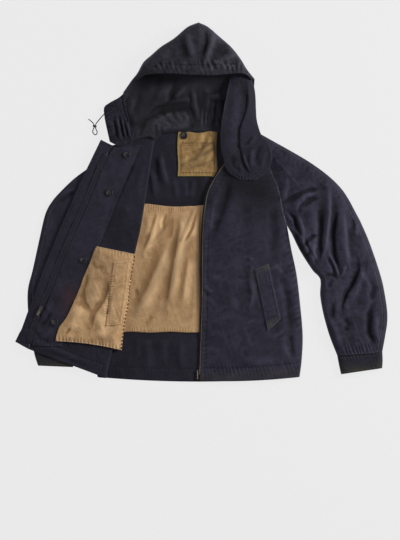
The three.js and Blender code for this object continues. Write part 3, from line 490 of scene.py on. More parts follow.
class Shader:
    """Builds one material's nodes."""

    def __init__(self, name: str) -> None:
        """Start an empty node material.

        Args:
            name: The material's name.
        """
        self.material = bpy.data.materials.new(name)
        self.material.use_nodes = True
        self.tree = self.material.node_tree
        self.tree.nodes.clear()

    def node(self, kind: str, settings: dict[str, Any], inputs: dict[Any, Any]) -> list[Socket]:
        """Add a node.

        Args:
            kind: The node's type.
            settings: Properties that are set first.
            inputs: Values or sockets by input name or number.

        Returns:
            The node's outputs.
        """
        made = self.tree.nodes.new(kind)
        for name, value in settings.items():
            setattr(made, name, value)
        for name, value in inputs.items():
            if isinstance(value, Socket):
                self.tree.links.new(value.output, made.inputs[name])
            else:
                made.inputs[name].default_value = value
        return [Socket(self, output) for output in made.outputs]

    def attribute(self, name: str) -> Socket:
        """Read a number that is stored on the mesh."""
        return self.node("ShaderNodeAttribute", {"attribute_name": name}, {})[2]

    def place(self) -> Socket:
        """Read the position on the object, in metres."""
        return self.node("ShaderNodeTexCoord", {}, {})[3]

    def cloth_place(self) -> Socket:
        """Read the position on the cut cloth, in metres."""
        return self.node("ShaderNodeUVMap", {"uv_map": "Cloth"}, {})[0]

    def noise(self, vector: Socket, scale: float, detail: float = 3.0, distortion: float = 0.0) -> Socket:
        """Add a noise texture and return its value."""
        inputs = {"Vector": vector, "Scale": scale, "Detail": detail, "Distortion": distortion}
        return self.node("ShaderNodeTexNoise", {}, inputs)[0]

    def ribs(self, vector: Socket, pitch: float, slant: float) -> Socket:
        """Add parallel ribs of the given pitch, turned by slant in radians.

        Args:
            vector: Where the ribs are read.
            pitch: Their pitch in metres.
            slant: Their turn in radians.

        Returns:
            Their height.
        """
        turned = self.node("ShaderNodeMapping", {}, {"Vector": vector, "Rotation": (0.0, 0.0, slant)})[0]
        scale = math.tau / (20.0 * pitch)
        return self.node("ShaderNodeTexWave", {}, {"Vector": turned, "Scale": scale})[1]

    def blend(self, first: Any, second: Any, share: Any) -> Socket:
        """Mix two colours."""
        settings = {"data_type": "RGBA"}
        return self.node("ShaderNodeMix", settings, {0: share, 6: first, 7: second})[2]

    def bump(self, height: Socket, depth: float, strength: float = 1.0, **under: Socket) -> Socket:
        """Turn a height into a normal, depth metres deep, over the Normal that is given."""
        inputs = {"Height": height, "Distance": depth, "Strength": strength} | under
        return self.node("ShaderNodeBump", {}, inputs)[0]

    def finish(self, inputs: dict[str, Any]) -> Material:
        """Close the material with a Principled BSDF.

        Args:
            inputs: The surface's values by name.

        Returns:
            The material.
        """
        surface = self.node("ShaderNodeBsdfPrincipled", {}, inputs)[0]
        self.node("ShaderNodeOutputMaterial", {}, {"Surface": surface})
        return self.material


def rgba(colour: Colour) -> tuple[float, float, float, float]:
    """Add full opacity to a colour."""
    return (*colour, 1.0)


@dataclass(frozen=True)
class CottonFinish:
    """Woven cotton with fading, a fine weave, stained spots, painted shade, and fold tops lighter and
    creases darker from wear and painted shade.
    """

    name: str
    slot: str
    deep: Colour
    worn: Colour
    edge: Colour
    # Colour of the stained spots: real staining on most cloths, near-black painted shade on the hood.
    stain_and_shade: Colour
    rib: float = 0.9
    rib_depth: float = 0.00012
    mottle: float = 0.28
    # How much the ridge attribute lightens fold tops and darkens creases: partly wear, partly painted shade.
    ridge_wear_and_shade: float = 0.42
    edge_wear: float = 0.35
    roughness: float = 0.82
    sheen: float = 0.22
    sheen_tint: Colour = (0.72, 0.68, 1.0)

    def build(self) -> Material:
        """Make the cloth's material.

        Returns:
            The material.
        """
        shader = Shader(self.name)
        place, cloth = shader.place(), shader.cloth_place()
        ridge = shader.attribute("ridge")
        rim = shader.attribute("rim")
        patch = shader.attribute("stain_and_shade")
        clouds = shader.noise(place, 14.0, 4.0, 0.4)
        blots = shader.noise(place, 75.0, 5.0, 0.2)
        specks = shader.noise(cloth, 310.0, 3.0)
        grain = shader.noise(cloth, 1500.0, 2.0)
        fade_and_fold_shade = (clouds - 0.5) * (2.0 * self.mottle) + (blots - 0.5) * (1.3 * self.mottle)
        # The ridge term paints light onto fold tops and shade into creases, together with wear.
        fade_and_fold_shade = fade_and_fold_shade + ridge * self.ridge_wear_and_shade + (grain - 0.5) * 0.22 + (specks - 0.5) * 0.55
        colour = shader.blend(rgba(self.deep), rgba(self.worn), (fade_and_fold_shade + 0.42).clipped())
        chafe = (1.0 - rim.eased(0.4, 4.5)) * (blots * 1.6 - 0.15).clipped() * self.edge_wear
        colour = shader.blend(colour, rgba(self.edge), chafe.clipped())
        # Stained spots: real staining on most sheets, painted shade and shadow on the hood, the khaki
        # panel's zip edge and the label's right edge.
        colour = shader.blend(colour, rgba(self.stain_and_shade), (patch * (0.55 + clouds * 0.7)).clipped())
        # Painted shade: the shade attribute darkens the colour toward black; it also carries dark seam lines
        # and the label's border lines and smudges.
        colour = shader.blend(colour, rgba((0.0, 0.0, 0.0)), shader.attribute("shade"))
        warp = shader.ribs(cloth, self.rib * MM, 0.9)
        weft = shader.ribs(cloth, self.rib * MM * 0.8, -0.7)
        crinkle = shader.noise(cloth, 160.0, 4.0, 0.6)
        weave = warp * 0.6 + weft * 0.4 + grain * 0.5
        normal = shader.bump(weave, self.rib_depth)
        crease = shader.bump(crinkle, 0.0009, 0.8, Normal=normal)
        rough = (blots - 0.5) * 0.12 + self.roughness
        return shader.finish(
            {
                "Base Color": colour, "Roughness": rough, "Normal": crease, "Sheen Weight": self.sheen,
                "Sheen Roughness": 0.45, "Sheen Tint": rgba(self.sheen_tint), "Specular IOR Level": 0.25,
            }
        )


@dataclass(frozen=True)
class ThreadFinish:
    """Sewing thread, cord or tape."""

    name: str
    slot: str
    light: Colour
    dark: Colour
    scale: float = 900.0
    roughness: float = 0.75

    def build(self) -> Material:
        """Make the thread's material.

        Returns:
            The material.
        """
        shader = Shader(self.name)
        spots = shader.noise(shader.place(), self.scale, 2.0)
        broad = shader.noise(shader.place(), 30.0, 2.0)
        share = (spots * 0.7 + broad * 0.9 - 0.3).clipped()
        colour = shader.blend(rgba(self.dark), rgba(self.light), share)
        normal = shader.bump(spots, 0.0002)
        return shader.finish({"Base Color": colour, "Roughness": self.roughness, "Normal": normal})


@dataclass(frozen=True)
class MetalFinish:
    """Aged brass with worn high spots."""

    name: str
    slot: str
    bright: Colour
    tarnish: Colour
    roughness: float = 0.38
    metallic: float = 0.85

    def build(self) -> Material:
        """Make the metal's material.

        Returns:
            The material.
        """
        shader = Shader(self.name)
        spots = shader.noise(shader.place(), 420.0, 3.0)
        share = spots.eased(0.35, 0.68)
        colour = shader.blend(rgba(self.tarnish), rgba(self.bright), share)
        rough = spots * 0.25 + self.roughness - 0.1
        normal = shader.bump(spots, 0.0001)
        inputs = {"Base Color": colour, "Roughness": rough, "Metallic": self.metallic, "Normal": normal}
        return shader.finish(inputs)


@dataclass(frozen=True)
class ButtonFinish:
    """Moulded button plastic, rubbed on its rim."""

    name: str
    slot: str
    body: Colour
    rubbed: Colour
    roughness: float = 0.32

    def build(self) -> Material:
        """Make the button's material.

        Returns:
            The material.
        """
        shader = Shader(self.name)
        swirl = shader.noise(shader.place(), 110.0, 3.0, 1.2)
        colour = shader.blend(rgba(self.body), rgba(self.rubbed), swirl.eased(0.45, 0.8) * 0.6)
        rough = swirl * 0.25 + self.roughness - 0.1
        normal = shader.bump(swirl, 0.0001)
        inputs = {"Base Color": colour, "Roughness": rough, "Normal": normal, "Coat Weight": 0.15}
        return shader.finish(inputs)


@dataclass(frozen=True)
class FloorFinish:
    """Pale seamless studio paper, lit so that shadows stay faint."""

    name: str
    tone: Colour
    glow: float

    def build(self) -> Material:
        """Make the floor's material.

        Returns:
            The material.
        """
        shader = Shader(self.name)
        inputs = {
            "Base Color": rgba(self.tone), "Roughness": 0.9, "Emission Color": (1.0, 1.0, 1.0, 1.0),
            "Emission Strength": self.glow,
        }
        return shader.finish(inputs)


NAVY = CottonFinish(
    "navy_cotton", "navy_cloth", deep=(0.008, 0.0074, 0.014), worn=(0.056, 0.051, 0.084),
    edge=(0.085, 0.08, 0.1), stain_and_shade=(0.082, 0.077, 0.052), ridge_wear_and_shade=0.52,
)
# The hood's cloth: its near-black staining colour is painted shade for the dark corners under the brim.
NAVY_HOOD = CottonFinish(
    "navy_cotton_hood", "navy_cloth", deep=(0.009, 0.0084, 0.0135), worn=(0.055, 0.052, 0.07),
    edge=(0.085, 0.08, 0.1), stain_and_shade=(0.004, 0.0046, 0.004), ridge_wear_and_shade=0.55, edge_wear=0.0,
)
NAVY_INSIDE = CottonFinish(
    "navy_cotton_inside", "navy_cloth", deep=(0.0074, 0.0066, 0.0125), worn=(0.046, 0.041, 0.068),
    edge=(0.06, 0.055, 0.06), stain_and_shade=(0.06, 0.026, 0.03), edge_wear=0.15,
)
KHAKI_TWILL = CottonFinish(
    "khaki_twill", "khaki_cloth", deep=(0.41, 0.232, 0.104), worn=(0.9, 0.59, 0.315),
    edge=(0.33, 0.21, 0.11), stain_and_shade=(0.16, 0.095, 0.05), rib=1.1, rib_depth=0.00014, mottle=0.24,
    ridge_wear_and_shade=0.85, sheen=0.1, sheen_tint=(1.0, 0.9, 0.75),
)
LABEL_CLOTH = CottonFinish(
    "label_weave", "label_cloth", deep=(0.21, 0.112, 0.032), worn=(0.64, 0.405, 0.17),
    edge=(0.3, 0.26, 0.08), stain_and_shade=(0.15, 0.1, 0.05), rib=0.7, mottle=0.3, ridge_wear_and_shade=0.7, roughness=0.6,
    sheen=0.15, sheen_tint=(1.0, 0.92, 0.75),
)
NAVY_THREAD = ThreadFinish(
    "navy_thread", "navy_cloth", light=(0.062, 0.058, 0.078), dark=(0.016, 0.015, 0.022),
)
DARK_THREAD = ThreadFinish(
    "dark_thread", "navy_cloth", light=(0.034, 0.031, 0.044), dark=(0.01, 0.009, 0.014),
)
PALE_THREAD = ThreadFinish(
    "faded_thread", "navy_cloth", light=(0.17, 0.155, 0.13), dark=(0.035, 0.033, 0.034),
)
KHAKI_THREAD = ThreadFinish("khaki_thread", "khaki_cloth", light=(0.52, 0.36, 0.2), dark=(0.2, 0.12, 0.06))
SEAM_THREAD = ThreadFinish(
    "brown_overcast", "khaki_cloth", light=(0.11, 0.055, 0.025), dark=(0.035, 0.017, 0.009),
)
CREAM_THREAD = ThreadFinish("cream_thread", "khaki_cloth", light=(0.9, 0.74, 0.52), dark=(0.46, 0.32, 0.18))
RUST_THREAD = ThreadFinish("rust_thread", "label_cloth", light=(0.3, 0.13, 0.06), dark=(0.14, 0.05, 0.02))
PIPING = ThreadFinish("label_piping", "label_cloth", light=(0.42, 0.4, 0.1), dark=(0.24, 0.2, 0.06))
CORD = ThreadFinish(
    "braided_cord", "cord", light=(0.075, 0.072, 0.075), dark=(0.015, 0.015, 0.018), scale=1400.0,
)
TEETH = MetalFinish("worn_zip_teeth", "zip_metal", (0.5, 0.48, 0.45), (0.24, 0.225, 0.21), metallic=0.05)
BRASS = MetalFinish("aged_brass", "zip_metal", (0.27, 0.24, 0.19), (0.09, 0.078, 0.06), metallic=0.7)
DARK_BRASS = MetalFinish(
    "blackened_brass", "zip_metal", (0.075, 0.07, 0.085), (0.03, 0.028, 0.038), metallic=0.3,
)
BUTTON = ButtonFinish("button_plastic", "button", body=(0.01, 0.01, 0.012), rubbed=(0.035, 0.035, 0.04))
DARK_TAPE = CottonFinish(
    "dark_tape_weave", "zip_tape", deep=(0.0085, 0.0078, 0.0135), worn=(0.038, 0.035, 0.05),
    edge=(0.016, 0.015, 0.022), stain_and_shade=(0.03, 0.03, 0.03), rib=0.8,
)
TAPE_WEAVE = CottonFinish(
    "zip_tape_weave", "zip_tape", deep=(0.0085, 0.0062, 0.006), worn=(0.04, 0.024, 0.018),
    edge=(0.03, 0.019, 0.016), stain_and_shade=(0.1, 0.07, 0.04), rib=0.8, sheen=0.1,
)
FLOOR = FloorFinish("studio_paper", tone=(0.04, 0.04, 0.04), glow=0.79)


class Wardrobe:
    """Makes each finish once."""

    def __init__(self) -> None:
        """Start with nothing made."""
        self._made: dict[str, Material] = {}

    def of(self, finish: Any) -> Material:
        """Return the material of a finish.

        Args:
            finish: The finish.

        Returns:
            Its material.
        """
        if finish.name not in self._made:
            self._made[finish.name] = finish.build()
        return self._made[finish.name]


WARDROBE = Wardrobe()


def dress(obj: Piece, finish: Any, body: str = GARMENT) -> Piece:
    """Give a new piece its material and body.

    Args:
        obj: The piece.
        finish: Its finish.
        body: The CAD body it moves with.

    Returns:
        The same piece.
    """
    obj.data.materials.clear()
    obj.data.materials.append(WARDROBE.of(finish))
    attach(obj, body)
    log.info("%s: %s, on %s", obj.name, finish.name, body)
    return obj


def new_object(name: str, mesh: bmesh.types.BMesh) -> Piece:
    """Turn a bmesh into a linked object with smooth faces.

    Args:
        name: Its name.
        mesh: Its shape, which is freed.

    Returns:
        The object.
    """
    data = bpy.data.meshes.new(name)
    mesh.to_mesh(data)
    mesh.free()
    data.polygons.foreach_set("use_smooth", np.ones(len(data.polygons), dtype=bool))
    obj = bpy.data.objects.new(name, data)
    bpy.context.scene.collection.objects.link(obj)
    return obj


def apply_modifiers(obj: Piece) -> None:
    """Turn what a piece's modifiers make into its own mesh.

    Args:
        obj: The piece.
    """
    evaluated = obj.evaluated_get(bpy.context.evaluated_depsgraph_get())
    mesh = bpy.data.meshes.new_from_object(evaluated)
    obj.modifiers.clear()
    obj.data = mesh


@dataclass
class Cut:
    """The flat pattern of a sheet: its size, how it is held and what it rests on."""

    width: float
    length: float
    held: str = "laid"
    rests_on: tuple[str, ...] = ("back",)


@dataclass
class Sheet:
    """A cut piece of cloth: a grid of points placed by a surface rule, with a thickness.

    A surface rule takes u, the share of the way across, and v, the share of the way along. The first
    front_share of the columns faces up where up is true, and down where it isn't.
    """

    name: str
    node: str
    finish: CottonFinish
    surface: Surface
    columns: int
    rows: int
    cut: Cut
    thickness: float = CLOTH
    up: bool = True
    # Spots in the finish's staining colour: real staining, and on some sheets painted shade and shadow.
    stain_and_shade_spots: tuple[Spot, ...] = ()
    # Shade spots, drawn lines and the sheet-wide tone feed the shade attribute: mostly painted shade, a
    # negative strength paints light, and some lines are dark seams and the label's border.
    shades: tuple[Spot, ...] = ()
    drawn: tuple[Stroke, ...] = ()
    tone: float = 0.0
    front_share: float = 1.0

    def build(self) -> Sheet:
        """Returns:
            The sheet itself, to sew on.
        """
        mesh = bmesh.new()
        bmesh.ops.create_grid(mesh, x_segments=self.columns, y_segments=self.rows, size=0.5)
        obj = new_object(self.name, mesh)
        data = obj.data
        flat = np.zeros(len(data.vertices) * 3)
        data.vertices.foreach_get("co", flat)
        flat = flat.reshape(-1, 3)
        column = np.rint((flat[:, 0] + 0.5) * self.columns).astype(int)
        row = np.rint((flat[:, 1] + 0.5) * self.rows).astype(int)
        index = row, column
        shape = self.surface(column / self.columns, row / self.rows)
        points = shape.points()
        data.vertices.foreach_set("co", points.ravel())
        grid = self._gridded(points, index)
        self._store(data, shape, grid, index)
        across, along = np.diff(grid, axis=1)[:-1], np.diff(grid, axis=0)[:, :-1]
        facing = np.cross(across, along)
        if (facing[:, : int(self.columns * self.front_share), 2].sum() > 0) != self.up:
            data.flip_normals()
        wall = obj.modifiers.new("wall", "SOLIDIFY")
        wall.thickness = self.thickness * MM
        wall.offset = -1.0
        wall.use_even_offset = False
        dress(obj, self.finish)
        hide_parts(self.node)
        width, length = self.cut.width * MM, self.cut.length * MM
        area = max(LEAST_CUT * width * length, float(np.linalg.norm(facing, axis=-1).sum()))
        area = min(area, width * length)
        rests = list(self.cut.rests_on)
        return self

    def on(self, u: Array, v: Array) -> Array:
        """Return points on the outer face, in metres."""
        return self.surface(np.asarray(u, dtype=float), np.asarray(v, dtype=float)).points()

    def _gridded(self, values: Array, index: Index) -> Array:
        """Sort values per point into rows and columns.

        Args:
            values: One value for each point.
            index: Each point's row and column.

        Returns:
            The grid.
        """
        grid = np.zeros((self.rows + 1, self.columns + 1, *values.shape[1:]))
        grid[index] = values
        return grid

    def _store(self, data: bpy.types.Mesh, shape: Shape, grid: Array, index: Index) -> None:
        """Store the cloth map, ridges, rims, stained spots and painted shade on the mesh.

        Args:
            data: The piece's mesh.
            shape: Its placed surface.
            grid: Its points in rows and columns.
            index: Each point's row and column.
        """
        pad = ((0, 0), (1, 0))
        across = np.cumsum(np.pad(np.linalg.norm(np.diff(grid, axis=1), axis=-1), pad), axis=1)
        along = np.cumsum(np.pad(np.linalg.norm(np.diff(grid, axis=0), axis=-1), pad[::-1]), axis=0)
        rim = np.minimum(np.minimum(across, across[:, -1:] - across), np.minimum(along, along[-1:] - along))
        relief = self._gridded(shape.relief, index)
        cell = float(np.median(np.diff(along, axis=0))) / MM
        fine = relief - soften(relief, max(1.0, FINE_FOLD / cell))
        broad = relief - soften(relief, max(1.0, BROAD_FOLD / cell))
        # Lighter on fold tops and darker in creases, stored for the colour: wear and painted shade.
        ridge = np.clip(fine / 1.3, -0.5, 0.45) + np.clip(broad / 3.2, -1.0, 0.8)
        # Painted shade: the tone, the shade spots and the drawn lines, summed.
        shade = self.tone + self._spread(self.shades, shape)
        for width, strength, *points in self.drawn:
            distance = Line(zip(points[::2], points[1::2])).measure(shape.x, shape.y)[0]
            shade += strength * np.exp(-((distance / width) ** 2))
        stored = {
            "ridge": ridge[index], "rim": rim[index] / MM,
            "stain_and_shade": np.clip(self._spread(self.stain_and_shade_spots, shape), 0, 1), "shade": np.clip(shade, 0, 0.9),
        }
        for name, values in stored.items():
            data.attributes.new(name, "FLOAT", "POINT").data.foreach_set("value", values)
        corners = np.zeros(len(data.loops), dtype=int)
        data.loops.foreach_get("vertex_index", corners)
        cloth = np.stack([across[index], along[index]], axis=-1)[corners]
        data.uv_layers.new(name="Cloth").data.foreach_set("uv", cloth.ravel())

    def _spread(self, spots: tuple[Spot, ...], shape: Shape) -> Array:
        """Add up soft spots, each given by its middle, its reach both ways and its strength.

        Args:
            spots: The spots.
            shape: The placed surface.

        Returns:
            The strength at each point.
        """
        total = np.zeros(shape.x.shape)
        for x, y, reach_x, reach_y, strength in spots:
            total += strength * np.exp(-(((shape.x - x) / reach_x) ** 2 + ((shape.y - y) / reach_y) ** 2))
        return total


@dataclass
class Stitching:
    """Rows of thread stitches laid on the cloth."""

    name: str
    finish: ThreadFinish
    pitch: float = 3.4
    length: float = 2.5
    width: float = 0.75
    proud: float = 0.12
    runs: list[Array] = field(default_factory=list)

    def along(self, points: Array) -> None:
        """Add a run that follows points given in metres."""
        self.runs.append(np.asarray(points, dtype=float))

    def line(self, sheet: Sheet, start: Point, end: Point, count: int) -> None:
        """Add a run that goes straight across a sheet.

        Args:
            sheet: The sheet that carries the stitches.
            start: The run's start, as shares of the sheet's width and length.
            end: Its end, in the same way.
            count: How many points the run follows.
        """
        share = np.linspace(0, 1, count)
        self.along(sheet.on(mix(start[0], end[0], share), mix(start[1], end[1], share)))

    def build(self) -> Piece:
        """Lay one stitch for each pitch of every run.

        Returns:
            The piece.
        """
        grain = bmesh.new()
        bmesh.ops.create_icosphere(grain, subdivisions=1, radius=0.5)
        size = Vector((self.length, self.width, self.width * 0.8)) * MM
        bmesh.ops.scale(grain, vec=size, verts=grain.verts)
        seed = np.array([v.co for v in grain.verts])
        placed = np.concatenate([self._place(run, seed) for run in self.runs])
        obj = new_object(self.name, grain)
        repeat = obj.modifiers.new("repeat", "ARRAY")
        repeat.count = len(placed)
        apply_modifiers(obj)
        obj.data.vertices.foreach_set("co", placed.ravel())
        return dress(obj, self.finish)

    def _place(self, run: Array, seed: Array) -> Array:
        """Return the points of each stitch on a run.

        Args:
            run: The run's points.
            seed: One stitch's points.

        Returns:
            The points, for each stitch.
        """
        steps = np.linalg.norm(np.diff(run, axis=0), axis=1)
        total = np.concatenate([[0], np.cumsum(steps)])
        spots = np.arange(self.pitch / 2, total[-1] / MM, self.pitch) * MM
        centre = np.stack([np.interp(spots, total, run[:, k]) for k in range(3)], axis=-1)
        ahead = np.stack([np.interp(spots + MM, total, run[:, k]) for k in range(3)], axis=-1)
        behind = np.stack([np.interp(spots - MM, total, run[:, k]) for k in range(3)], axis=-1)
        tangent = ahead - behind
        tangent /= np.maximum(np.linalg.norm(tangent, axis=1, keepdims=True), 1e-12)
        side = np.cross([0.0, 0.0, 1.0], tangent)
        side /= np.maximum(np.linalg.norm(side, axis=1, keepdims=True), 1e-12)
        normal = np.cross(tangent, side)
        base = centre + normal * self.proud * MM
        return base[:, None] + seed @ np.stack([tangent, side, normal], axis=1)


SIDE_SEAM = Rows("x y", (283, 14), (289, 60), (292, 130), (285, 216), (275, 300), (260, 372), (248, 437))
RAGLAN_SEAM = Rows(
    "x y", (248, 437), (237, 470), (229, 512), (221, 545), (208, 575), (196, 603), (182, 630), (163, 652),
    (140, 672),
)


def joined(first: Rows, second: Rows, v: Array, split: float) -> Columns:
    """Read one table below a split and another above it.

    Args:
        first: The table for places from 0 to the split.
        second: The table for places from the split to 1.
        v: The places.
        split: Where one ends and the other begins.

    Returns:
        An array for each column.
    """
    low, high = first.at(v / split), second.at((v - split) / (1 - split))
    return {name: np.where(v <= split, low[name], high[name]) for name in first.names}


@dataclass
class Back:
    """The back, its khaki panel and the bare label, seen from inside."""

    neck_half: float = 112.0
    neck_y: float = 694.0
    neck_rise: float = 9.0
    split: float = 0.62
    folds: Folds = creases(
        (10, 6, 0.3, -107, 640, -100, 595, -86, 548), (8, -1.5, 0, -128, 640, -118, 590, -104, 540),
        (10, 3.4, -0.3, -136, 600, -128, 560, -124, 516), (9, 3.4, 0.3, -40, 566, -34, 540, -34, 510),
        (9, 4, -0.2, -12, 570, -18, 542, -24, 510), (8, 2.6, 0, -70, 570, -62, 530, -64, 508),
    ) + (Crumple(40, 1.0, 23),)
    low_folds: Folds = creases(
        (12, 2.2, 0, -150, 132, -138, 80, -140, 20), (8, 1.6, 0, -170, 120, -168, 90, -172, 60),
        (11, 1.8, 0.3, -88, 130, -96, 90, -90, 45), (10, 2.2, -0.3, -48, 120, -52, 70, -44, 30),
    ) + (
        Puckers(((-250, 44), (-120, 39), (0, 36)), 9, 14, 0.8, 5, -6),
        Groove(((-250, 44), (-120, 39), (0, 36)), 2.4, 0.8), Crumple(46, 1.1, 21),
    )
    khaki_half: float = 215.0
    khaki_top: float = 496.0
    khaki_bottom: float = 139.0
    khaki_puff: float = 3.0
    khaki_folds: Folds = creases(
        (10, 6, -0.5, -110, 490, -114, 462, -122, 436, -134, 398, -151, 358),
        (11, 3.4, 0, -132, 486, -136, 440, -146, 400), (4, -3, -0.3, -88, 474, -98, 449, -99, 428),
        (5, 2.2, 0, -100, 470, -106, 446, -104, 424),
        (22, 8, -0.4, -80, 392, -95, 347, -108, 317, -129, 266, -153, 221, -178, 176),
        (17, 9, -0.5, -42, 492, -45, 430, -53, 378, -62, 327, -73, 266, -83, 206),
        (15, 4.4, -0.35, -22, 360, -26, 320, -33, 272, -42, 205),
        (4, -4, -0.4, -2, 486, -21, 426, -43, 388), (10, 2.6, -0.3, 6, 480, -10, 430, -26, 400),
        (7, -2.4, 0.3, -74, 470, -76, 430, -84, 398), (4, -1.6, 0, -176, 262, -172, 236),
        (8, -1.8, 0, -128, 190, -140, 170, -150, 156), (12, 1.6, 0, -96, 240, -104, 200, -112, 160),
    )

    def edge(self, v: Array) -> Columns:
        """Return the side seam's edge below the split and the raglan seam's above it."""
        return joined(SIDE_SEAM, RAGLAN_SEAM, v, self.split)

    def surface(self, u: Array, v: Array) -> Shape:
        """Place points of the back's inside face.

        Args:
            u: Shares across.
            v: Shares along.

        Returns:
            The placed surface.
        """
        body = np.minimum(v / 0.97, 1.0)
        edge = self.edge(body)
        neck = smooth((v - 0.97) / 0.03)
        half = mix(edge["x"], self.neck_half, neck) - HALF_SEAM
        edge_y = mix(edge["y"], self.neck_y, neck)
        side = 2 * u - 1
        bow = -13 * np.clip(1 - body / self.split, 0, 1) ** 6 + self.neck_rise * neck
        x, y = side * half, edge_y + bow * (1 - side * side)
        clear = smooth((y - 502) / 26)
        lumps = np.maximum(heights(self.folds, x, y) * clear, 0)
        low = np.maximum(heights(self.low_folds, x, y) + 0.4, 0) * smooth((126 - y) / 12)
        low = low * smooth((8 - x) / 10) * smooth((x + 262) / 18)
        return Shape(x, y, lumps + low + CLOTH, lumps * 0.6 + low)

    def khaki(self, u: Array, v: Array) -> Shape:
        """Place points of the khaki panel's face.

        Args:
            u: Shares across.
            v: Shares along.

        Returns:
            The placed surface.
        """
        x = mix(-self.khaki_half, self.khaki_half, u)
        top = self.khaki_top + 5 * np.sin(x / 38) - 2.0 * smooth((x + 30) / 20)
        y = mix(self.khaki_bottom + 1.2 * np.sin(x / 17), top, v)
        slack = np.sin(math.pi * np.clip(v * 1.04, 0, 1)) ** 0.5
        open_part = smooth((6 - x) / 16)
        folds = np.maximum(self.khaki_puff + heights(self.khaki_folds, x, y), 0) * slack * open_part
        rim = (
            Puckers(((-215, 146), (0, 145)), 7.5, 8, 0.8, 9),
            Puckers(((-160, 489), (-80, 486), (0, 492)), 7, 10, 0.9, 13), Crumple(30, 0.6, 31, 2.2),
        )
        fine = np.maximum(heights(rim, x, y) + 0.3, 0) * open_part
        return Shape(x, y, LAP + KHAKI + folds + fine, folds + fine - self.khaki_puff * slack * open_part)

    def label(self, u: Array, v: Array) -> Shape:
        """Place points of the label patch.

        Args:
            u: Shares across.
            v: Shares along.

        Returns:
            The placed surface.
        """
        x = mix(-57.0, 52.0, u) + 1.2 * np.sin(v * 7)
        y = mix(577.0, 699.5, v) + 2.4 * np.sin(u * 9.5) * smooth(v * 2 - 1)
        y = y - 4 * smooth((u - 0.8) * 4) * (1 - v)
        waves = creases(
            (10, 2.6, -0.3, 38, 692, 24, 660, 14, 640, -10, 610), (9, 1.8, 0, 14, 700, 8, 676, -6, 650),
            (8, 1.6, 0, 44, 650, 30, 630, 16, 600), (8, 1.2, 0, -30, 640, -36, 620, -34, 596),
        ) + (
            Crumple(34, 0.7, 41), Puckers(((-49, 670), (44, 670)), 7, 5, 0.5, 8),
            Puckers(((-49, 586), (44, 586)), 9, 5, 0.4, 6),
        )
        lift = np.maximum(heights(waves, x, y) + 0.2, 0)
        return Shape(x, y, LAP + 1.3 + lift, lift)

    def build(self) -> None:
        """Make the three sheets, their stitching and the label's piping."""
        Sheet(
            "back_shell", "back", NAVY_INSIDE, self.surface, 150, 180, Cut(584, 704, rests_on=("floor",)),
            # Shade spots paint shade in a band just above the khaki panel and down the middle; the tone
            # darkens the whole inside.
            shades=((-60, 500, 90, 12, 0.25), (0, 560, 14, 90, 0.4)), tone=0.3,
        ).build()
        panel = Sheet(
            "khaki_panel", "back_khaki_panel", KHAKI_TWILL, self.khaki, 130, 110, Cut(430, 374), KHAKI,
            # The first stained spot and the first shade spot paint the left front's shadow along the zip
            # edge; the drawn lines paint shade into the fold valleys.
            stain_and_shade_spots=((-2, 300, 6, 200, 0.85), (-96, 300, 26, 70, 0.16), (-36, 420, 26, 70, 0.15)),
            shades=((3, 320, 8, 220, 0.6), (-70, 300, 70, 130, 0.06)),
            drawn=(
                (9, 0.2, -58, 396, -87, 337, -131, 263, -176, 190),
                (9, 0.24, -28, 389, -58, 322, -87, 234, -102, 190),
                (5, 0.25, -76, 485, -87, 440, -131, 389), (4, 0.34, -17, 480, -39, 426, -50, 396),
                (6, 0.2, -8, 360, -14, 280, -22, 180),
            ),
            tone=0.02,
        ).build()
        patch = Sheet(
            "label_patch", "neck_label", LABEL_CLOTH, self.label, 92, 100, Cut(111, 126), 1.3,
            # The first stained spot and the first shade spot paint the shadow along the label's right edge.
            stain_and_shade_spots=(
                (53, 640, 9, 70, 1.0), (24, 668, 14, 12, 0.4), (16, 640, 20, 11, 0.5),
                (-4, 622, 20, 8, 0.45), (-22, 606, 16, 7, 0.4), (14, 606, 22, 6, 0.3),
            ),
            shades=(
                (54, 630, 7, 80, 0.6), (20, 655, 9, 14, 0.22), (-2, 636, 16, 6, 0.2), (30, 612, 14, 6, 0.2),
            ),
            drawn=(
                (1.5, 0.5, -49, 669, 44, 669, 44, 586, -49, 586, -49, 669), (1.3, 0.35, -49, 663, 44, 663),
                (4.5, 0.3, -46, 606, -18, 622, 10, 634, 42, 654), (4, 0.26, -30, 596, 4, 606, 40, 622),
                (3.5, 0.26, -14, 644, 16, 656, 42, 672),
            ),
        ).build()
        sewing = Stitching("khaki_panel_stitching", KHAKI_THREAD, 3.0, 2.2, 0.7)
        for v in (0.02, 0.98):
            sewing.line(panel, (0.1, v), (0.52, v), 90)
        sewing.build()
        border = Stitching("label_border_stitching", RUST_THREAD, 2.6, 2.1, 0.7)
        for v in (0.76, 0.73, 0.075):
            border.line(patch, (0.08, v), (0.93, v), 40)
        for u in (0.08, 0.93):
            border.line(patch, (u, 0.075), (u, 0.76), 40)
        border.build()
        down = patch.on(np.zeros(30), np.linspace(0.97, 0, 30))
        across = patch.on(np.linspace(0, 0.96, 40), np.zeros(40))
        Tube("label_piping", PIPING, 1.7, np.concatenate([down, across])).build()


@dataclass
class Tube:
    """A thin round cord that follows points."""

    name: str
    finish: Any
    diameter: float
    points: Array
    body: str = GARMENT

    def curve(self) -> Piece:
        """Make the tube as a curve object.

        Returns:
            The curve object.
        """
        data = bpy.data.curves.new(self.name, "CURVE")
        data.dimensions = "3D"
        data.bevel_depth = self.diameter / 2 * MM
        data.bevel_resolution = 2
        data.resolution_u = 6
        data.use_fill_caps = True
        spline = data.splines.new("NURBS")
        spline.points.add(len(self.points) - 1)
        for target, point in zip(spline.points, self.points):
            target.co = (*point, 1.0)
        spline.use_endpoint_u = True
        spline.order_u = 4
        obj = bpy.data.objects.new(self.name, data)
        bpy.context.scene.collection.objects.link(obj)
        return obj

    def build(self) -> Piece:
        """Make the tube and dress it."""
        return dress(self.curve(), self.finish, self.body)


